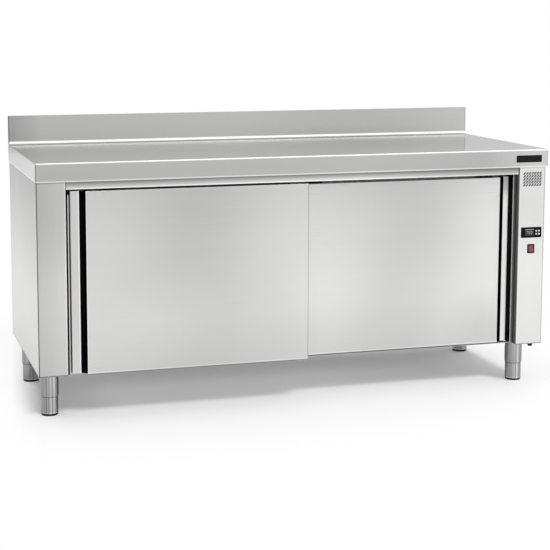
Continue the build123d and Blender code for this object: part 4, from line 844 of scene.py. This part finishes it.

# %% [markdown]
# ## Black liners in the finger slots
# Fingers reach into an upright slot at the outer edge of each door. A thin black moulding lines it and closes
# both ends, as painted shade: a black thing where the deep slot is dark with shade. Black paint would leave the
# slot open to the gap behind the door, so the liner is a real trough. It starts as a box that fills the slot.
# The front face is taken off, the front edge beside the set-back strip is moved back to the strip, and a wall
# grows inwards. At the bottom the back wall steps forward to a toe, so that the open door passes in front of
# the rib on the floor guide.

# %% Model the slot liners
STRIP_EDGES = {"left_door": (0, 0.030), "right_door": (1, -0.020)}
LINER_DEEP, LINER_WALL, LINER_CLEAR = 0.030, 0.0008, 0.0004
STRIP_LOWER = 0.0048
TOE_HIGH, RAMP_HIGH, TOE_DEEP = 0.1645, 0.178, 0.0147
# Painted shade: one black finish for the slot liners, the corner bead, the buffer and the pad behind the vent.
painted_shade_black = moulded("painted_shade_black", (0.003, 0.003, 0.003), 0.5, 0.7, shine=0.02)
for door, (side, strip_width) in STRIP_EDGES.items():
    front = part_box(f"{door}_front")
    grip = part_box(f"{door}_handle")
    strip_x, panel_x = grip[side].x + strip_width, front[side].x
    front_y, strip_y = front[0].y + 0.001, grip[0].y + 0.0002
    back_y, toe_y = front_y + LINER_DEEP, front[0].y + TOE_DEEP
    low_z, high_z = grip[0].z + STRIP_LOWER, grip[1].z - LINER_CLEAR
    liner = start_box(
        f"{door}_slot_liner",
        ((strip_x + panel_x) / 2, front_y + LINER_DEEP / 2, (low_z + high_z) / 2),
        (abs(panel_x - strip_x) - 2 * LINER_CLEAR, LINER_DEEP, high_z - low_z),
    )
    pick_faces(liner, lambda centre, normal: normal.y < -0.9)
    bpy.ops.mesh.delete(type="FACE")
    for cut_z in (TOE_HIGH, RAMP_HIGH):
        pick_faces(liner, lambda centre, normal: True)
        bpy.ops.mesh.bisect(plane_co=(0, 0, cut_z), plane_no=(0, 0, 1))
    pick_edges(liner, lambda a, b: all(p.y < front_y + 1e-5 and abs(p.x - strip_x) < 0.001 for p in (a, b)))
    bpy.ops.transform.translate(value=(0, strip_y - front_y, 0))
    pick_edges(liner, lambda a, b: all(p.z < TOE_HIGH + 1e-5 and p.y > back_y - 1e-5 for p in (a, b)))
    bpy.ops.transform.translate(value=(0, toe_y - back_y, 0))
    bpy.ops.object.mode_set(mode="OBJECT")
    wall = liner.modifiers.new("wall", "SOLIDIFY")
    wall.thickness = LINER_WALL
    wall.offset = -1
    bpy.ops.object.modifier_apply(modifier=wall.name)
    settle(liner)
    liner.data.materials.append(painted_shade_black)
    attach(liner, door)
    print(liner.name, "has", len(liner.data.polygons), "faces")

# %% [markdown]
# ## Seals beside the doors
# A ribbed dark rubber strip is stuck to the column's side, a round black bead fills the gap behind the left
# corner, and the right door closes against a soft black buffer. The bead and the buffer are painted shade,
# black things where the gaps are dark with shade, and the strip's middle band is painted darker, also as
# painted shade. The strip is a thin bar cut into five lengthwise bands, and all but the middle band stand up as
# ribs. Bump could fake the ribs from the front, but not their outline from the side. The bead is a cylinder
# with its two ends rounded over, and the buffer a bar with rounded front edges.

# %% Model the seals
COLUMN_WIDTH, SEAL_THICK, RIB_HIGH = 0.098, 0.0008, 0.0008
SEAL_LOW, SEAL_HIGH = 0.157, 0.761
SEAL_FRONT, SEAL_WIDE, SEAL_CLEAR = 0.003, 0.036, 0.0003
BEAD_RADIUS, BEAD_ROUND, BEAD_X, BEAD_Y = 0.0031, 0.0010, -0.7997, -0.3380
seal_middle, seal_long = (SEAL_LOW + SEAL_HIGH) / 2, SEAL_HIGH - SEAL_LOW
seal_rubber = moulded("seal_rubber", (0.11, 0.11, 0.11), 0.6, 0.8, 900, 0.0001, shine=0.1)
column_low, column_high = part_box("control_panel")
reveal_x = column_high.x - COLUMN_WIDTH
seal_y = column_low.y + SEAL_FRONT + SEAL_WIDE / 2
# Painted shade: the strip is made much darker along its middle band.
shade(seal_rubber, read_distance(seal_rubber, reveal_x, seal_y, None), (0.0035, 0.0050), (0.10, 1.0))
seal_x = reveal_x - SEAL_CLEAR - SEAL_THICK / 2
seal = start_box("column_seal", (seal_x, seal_y, seal_middle), (SEAL_THICK, SEAL_WIDE, seal_long))
pick_edges(seal, lambda a, b: abs(a.y - b.y) > SEAL_WIDE / 2)
bpy.ops.mesh.subdivide(number_cuts=4)
pick_faces(seal, lambda centre, normal: normal.x < -0.9 and abs(centre.y - seal_y) > SEAL_WIDE / 10)
bpy.ops.mesh.extrude_region_move(TRANSFORM_OT_translate={"value": (-RIB_HIGH, 0, 0)})
settle(seal)
let_go()
bpy.ops.mesh.primitive_cylinder_add(
    vertices=16, radius=BEAD_RADIUS, depth=seal_long, location=(BEAD_X, BEAD_Y, seal_middle),
)
bead = bpy.context.object
bead.name = "corner_bead"
pick_faces(bead, lambda centre, normal: abs(normal.z) > 0.9)
bpy.ops.mesh.bevel(offset=BEAD_ROUND, segments=3, affect="EDGES")
settle(bead)
print("seal has", len(seal.data.polygons), "faces, bead", len(bead.data.polygons))

# %% Model the buffer
BUFFER_WIDE, BUFFER_DEEP, BUFFER_ROUND = 0.0042, 0.040, 0.0015
LIP_DEEP = 0.0425
buffer_x = column_low.x - BUFFER_WIDE / 2
buffer_y = column_low.y + LIP_DEEP + BUFFER_DEEP / 2
buffer = start_box("door_buffer", (buffer_x, buffer_y, seal_middle), (BUFFER_WIDE, BUFFER_DEEP, seal_long))
pick_edges(buffer, lambda a, b: all(p.x < buffer_x and p.y < buffer_y for p in (a, b)))
bpy.ops.mesh.bevel(offset=BUFFER_ROUND, segments=3, affect="EDGES")
settle(buffer)
for piece, finish in ((seal, seal_rubber), (bead, painted_shade_black), (buffer, painted_shade_black)):
    piece.data.materials.append(finish)
    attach(piece, "cabinet")
print("buffer has", len(buffer.data.polygons), "faces")

# %% [markdown]
# ## The pale trim on the lip
# Between the buffer and the ribbed strip, the column's folded lip carries a narrow pale trim. It is painted
# light: the lip lies in shade, and the pale trim makes it read as a light line between two dark ones. It is a
# flat bar whose two front edges are rounded.

# %% Model the trim
TRIM_WIDE, TRIM_THICK, TRIM_ROUND = 0.0046, 0.0012, 0.0006
TRIM_CLEAR, TRIM_AHEAD = 0.0002, 0.0016
trim_x = column_low.x + TRIM_WIDE / 2 + TRIM_CLEAR
trim_y = column_low.y + LIP_DEEP - TRIM_AHEAD - TRIM_THICK / 2
trim = start_box("lip_trim", (trim_x, trim_y, seal_middle), (TRIM_WIDE, TRIM_THICK, seal_long))
pick_edges(trim, lambda a, b: abs(a.z - b.z) > 0.1 and a.y < trim_y)
bpy.ops.mesh.bevel(offset=TRIM_ROUND, segments=3, affect="EDGES")
settle(trim)
# Painted light: a pale grey on the trim where the lip lies in shade.
lip_trim_painted_light = moulded("lip_trim_painted_light", (0.66, 0.66, 0.65), 0.4, 0.55)
trim.data.materials.append(lip_trim_painted_light)
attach(trim, "cabinet")
print("trim has", len(trim.data.polygons), "faces")

# %% [markdown]
# ## A black pad behind the vent
# Behind the slanted slots lies a black pad, painted shade that makes the slots read dark. It is a flat box with
# its edges softened. That is enough, because only thin slices of it show through the slots.

# %% Model the black pad
PAD_SIZE, PAD_SOFT = (0.078, 0.0010, 0.060), 0.0003
PAD_BEHIND, VENT_Z = 0.0019, 0.745
vent_x = column_high.x - COLUMN_WIDTH / 2
pad = start_box("vent_painted_shade_pad", (vent_x, column_low.y + PAD_BEHIND, VENT_Z), PAD_SIZE)
pick_edges(pad, lambda a, b: True)
bpy.ops.mesh.bevel(offset=PAD_SOFT, segments=2, affect="EDGES")
settle(pad)
pad.data.materials.append(painted_shade_black)
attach(pad, "cabinet")
print("dust pad has", len(pad.data.polygons), "faces")

# %% [markdown]
# ## Figures in the display
# The thermostat shows its set temperature in seven-segment figures. A text object would bring a type
# face that no such display has, so one segment is modelled as a bar with pointed ends: a small plane
# whose two end edges are drawn out and merged to a point. Copies of it are turned and placed for each
# figure, then joined to one piece that lies on the window.

# %% Model one segment
SEGMENT_LONG, SEGMENT_WIDE, SEGMENT_THICK = 0.0046, 0.0011, 0.00012
window_low, window_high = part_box("controller_window")
let_go()
bpy.ops.mesh.primitive_plane_add(size=1, rotation=(math.radians(90), 0, 0))
segment = bpy.context.object
segment.name = "display_segment"
segment.scale = (SEGMENT_LONG - SEGMENT_WIDE, SEGMENT_WIDE, 1)
bpy.ops.object.transform_apply(location=True, rotation=True, scale=True)
for side in (-1, 1):
    end = side * (SEGMENT_LONG - SEGMENT_WIDE) / 2
    pick_edges(segment, lambda a, b: abs(a.x - end) < 1e-6 and abs(b.x - end) < 1e-6)
    bpy.ops.mesh.extrude_region_move(TRANSFORM_OT_translate={"value": (side * SEGMENT_WIDE / 2, 0, 0)})
    bpy.ops.mesh.merge(type="CENTER")
bpy.ops.object.mode_set(mode="OBJECT")
thicken = segment.modifiers.new("thicken", "SOLIDIFY")
thicken.thickness = SEGMENT_THICK
thicken.offset = 0
bpy.ops.object.modifier_apply(modifier=thicken.name)
print("segment has", len(segment.data.vertices), "points")

# %% Place the figures
LIT = {"7": "abc", "5": "afgcd", "0": "abcdef"}
SPOTS = {"a": (0, 1, 0), "d": (0, -1, 0), "g": (0, 0, 0), "b": (0.5, 0.5, 1), "c": (0.5, -0.5, 1),
         "e": (-0.5, -0.5, 1), "f": (-0.5, 0.5, 1)}
FIGURE_PITCH, FIGURE_STEP, FIGURE_AHEAD = 0.0086, 0.0050, 0.00004
middle = (window_low + window_high) / 2
bars = []
for place, figure in enumerate("750"):
    for letter in LIT[figure]:
        across, up, upright = SPOTS[letter]
        bar = segment.copy()
        bar.data = segment.data.copy()
        bar.data.transform(Matrix.Rotation(math.radians(90 * upright), 4, "Y"))
        bar.data.transform(Matrix.Translation((
            middle.x + (place - 1) * FIGURE_PITCH + across * FIGURE_STEP,
            window_low.y - FIGURE_AHEAD,
            middle.z + up * FIGURE_STEP,
        )))
        scene.collection.objects.link(bar)
        bars.append(bar)
bpy.data.objects.remove(segment)
let_go()
for bar in bars:
    bar.select_set(True)
bpy.context.view_layer.objects.active = bars[0]
bpy.ops.object.join()
figures = bpy.context.object
figures.name = "display_figures"
settle(figures)
figure_grey = moulded("figure_grey", (0.48, 0.48, 0.47), 0.35, 0.45)
figures.data.materials.append(figure_grey)
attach(figures, "cabinet")
print("display shows", len(bars), "segments")

# %% [markdown]
# ## The window's bright edge
# The display window is a dark tile let into the case. Its upper edge is chamfered, and the light it catches
# there is a painted highlight: a pale grey line. The tile in the imported model has a sharp edge, which can't
# show that, so the line is a piece of its own: a thin pale bar with its upper front edge cut off at a slant.

# %% Model the bright edge
EDGE_HIGH, EDGE_THICK, EDGE_CHAMFER, EDGE_SHORTER = 0.0013, 0.0003, 0.0002, 0.001
edge_y = window_low.y - EDGE_THICK / 2
bright_edge = start_box(
    "window_edge",
    (middle.x, edge_y, window_high.z - EDGE_HIGH / 2),
    (window_high.x - window_low.x - EDGE_SHORTER, EDGE_THICK, EDGE_HIGH),
)
pick_edges(bright_edge, lambda a, b: all(p.z > window_high.z - 1e-5 and p.y < edge_y for p in (a, b)))
bpy.ops.mesh.bevel(offset=EDGE_CHAMFER, segments=1, affect="EDGES")
settle(bright_edge)
# Painted highlight: a pale grey bar stands for the light caught on the chamfer.
bright_edge.data.materials.append(figure_grey)
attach(bright_edge, "cabinet")
print("window edge has", len(bright_edge.data.polygons), "faces")

# %% [markdown]
# ## Screws in the back
# The back is a loose panel, held by pan-head screws so that a fitter can reach the wiring. All are
# alike, so one screw is modelled: a short cylinder with its top edge rounded over and a cross cut
# into it by two crossed bars. Copies go down both sides of the panel and along its lower edge.

# %% Model one screw
HEAD_RADIUS, HEAD_HIGH, HEAD_ROUND = 0.0042, 0.0024, 0.0014
CROSS_SIZE = (0.0042, 0.0030, 0.0009)
back_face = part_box("back_panel")[1].y
let_go()
bpy.ops.mesh.primitive_cylinder_add(
    vertices=24, radius=HEAD_RADIUS, depth=HEAD_HIGH,
    location=(0, back_face + HEAD_HIGH / 2, 0), rotation=(math.radians(-90), 0, 0),
)
screw = bpy.context.object
screw.name = "back_screw"
bpy.ops.object.transform_apply(location=True, rotation=True, scale=True)
pick_faces(screw, lambda centre, normal: normal.y > 0.9)
bpy.ops.mesh.bevel(offset=HEAD_ROUND, segments=4, affect="EDGES")
bpy.ops.object.mode_set(mode="OBJECT")
for turn in (0, 90):
    let_go()
    bpy.ops.mesh.primitive_cube_add(size=1, location=(0, back_face + HEAD_HIGH, 0))
    bar = bpy.context.object
    bar.scale = CROSS_SIZE
    bar.rotation_euler = (0, math.radians(turn), 0)
    let_go()
    screw.select_set(True)
    bpy.context.view_layer.objects.active = screw
    cut = screw.modifiers.new("cross", "BOOLEAN")
    cut.operation = "DIFFERENCE"
    cut.object = bar
    bpy.ops.object.modifier_apply(modifier=cut.name)
    bpy.data.objects.remove(bar)
settle(screw)
screw.data.materials.append(bright_tube)
print("screw has", len(screw.data.polygons), "faces")

# %% Set the screws round the back panel
SCREW_IN = 0.014
panel_low, panel_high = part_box("back_panel")
columns = [panel_low.x + SCREW_IN + i * (panel_high.x - panel_low.x - 2 * SCREW_IN) / 6 for i in range(7)]
rows = [panel_low.z + SCREW_IN + i * (panel_high.z - panel_low.z - 3 * SCREW_IN) / 4 for i in range(5)]
spots = [(x, z) for x in columns for z in rows if x in (columns[0], columns[-1]) or z == rows[0]]
for number, (x, z) in enumerate(spots, 1):
    copy = screw.copy()
    copy.data = screw.data.copy()
    copy.name = f"back_screw_{number}"
    copy.data.transform(Matrix.Translation((x, 0, z)))
    scene.collection.objects.link(copy)
    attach(copy, "cabinet")
bpy.data.objects.remove(screw)
print("set", len(spots), "screws in the back panel")

# %% [markdown]
# ## The size at the end
# The added pieces should not make the table bigger than the measured model. Only the plate on the apron
# stands out, by less than a millimetre. Both boxes are written down so that they can be compared.

# %% Print both boxes
visual_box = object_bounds()
for name, box in (("measured", cad_box), ("shown", visual_box)):
    print(name, [round(v, 4) for v in box[1] - box[0]])
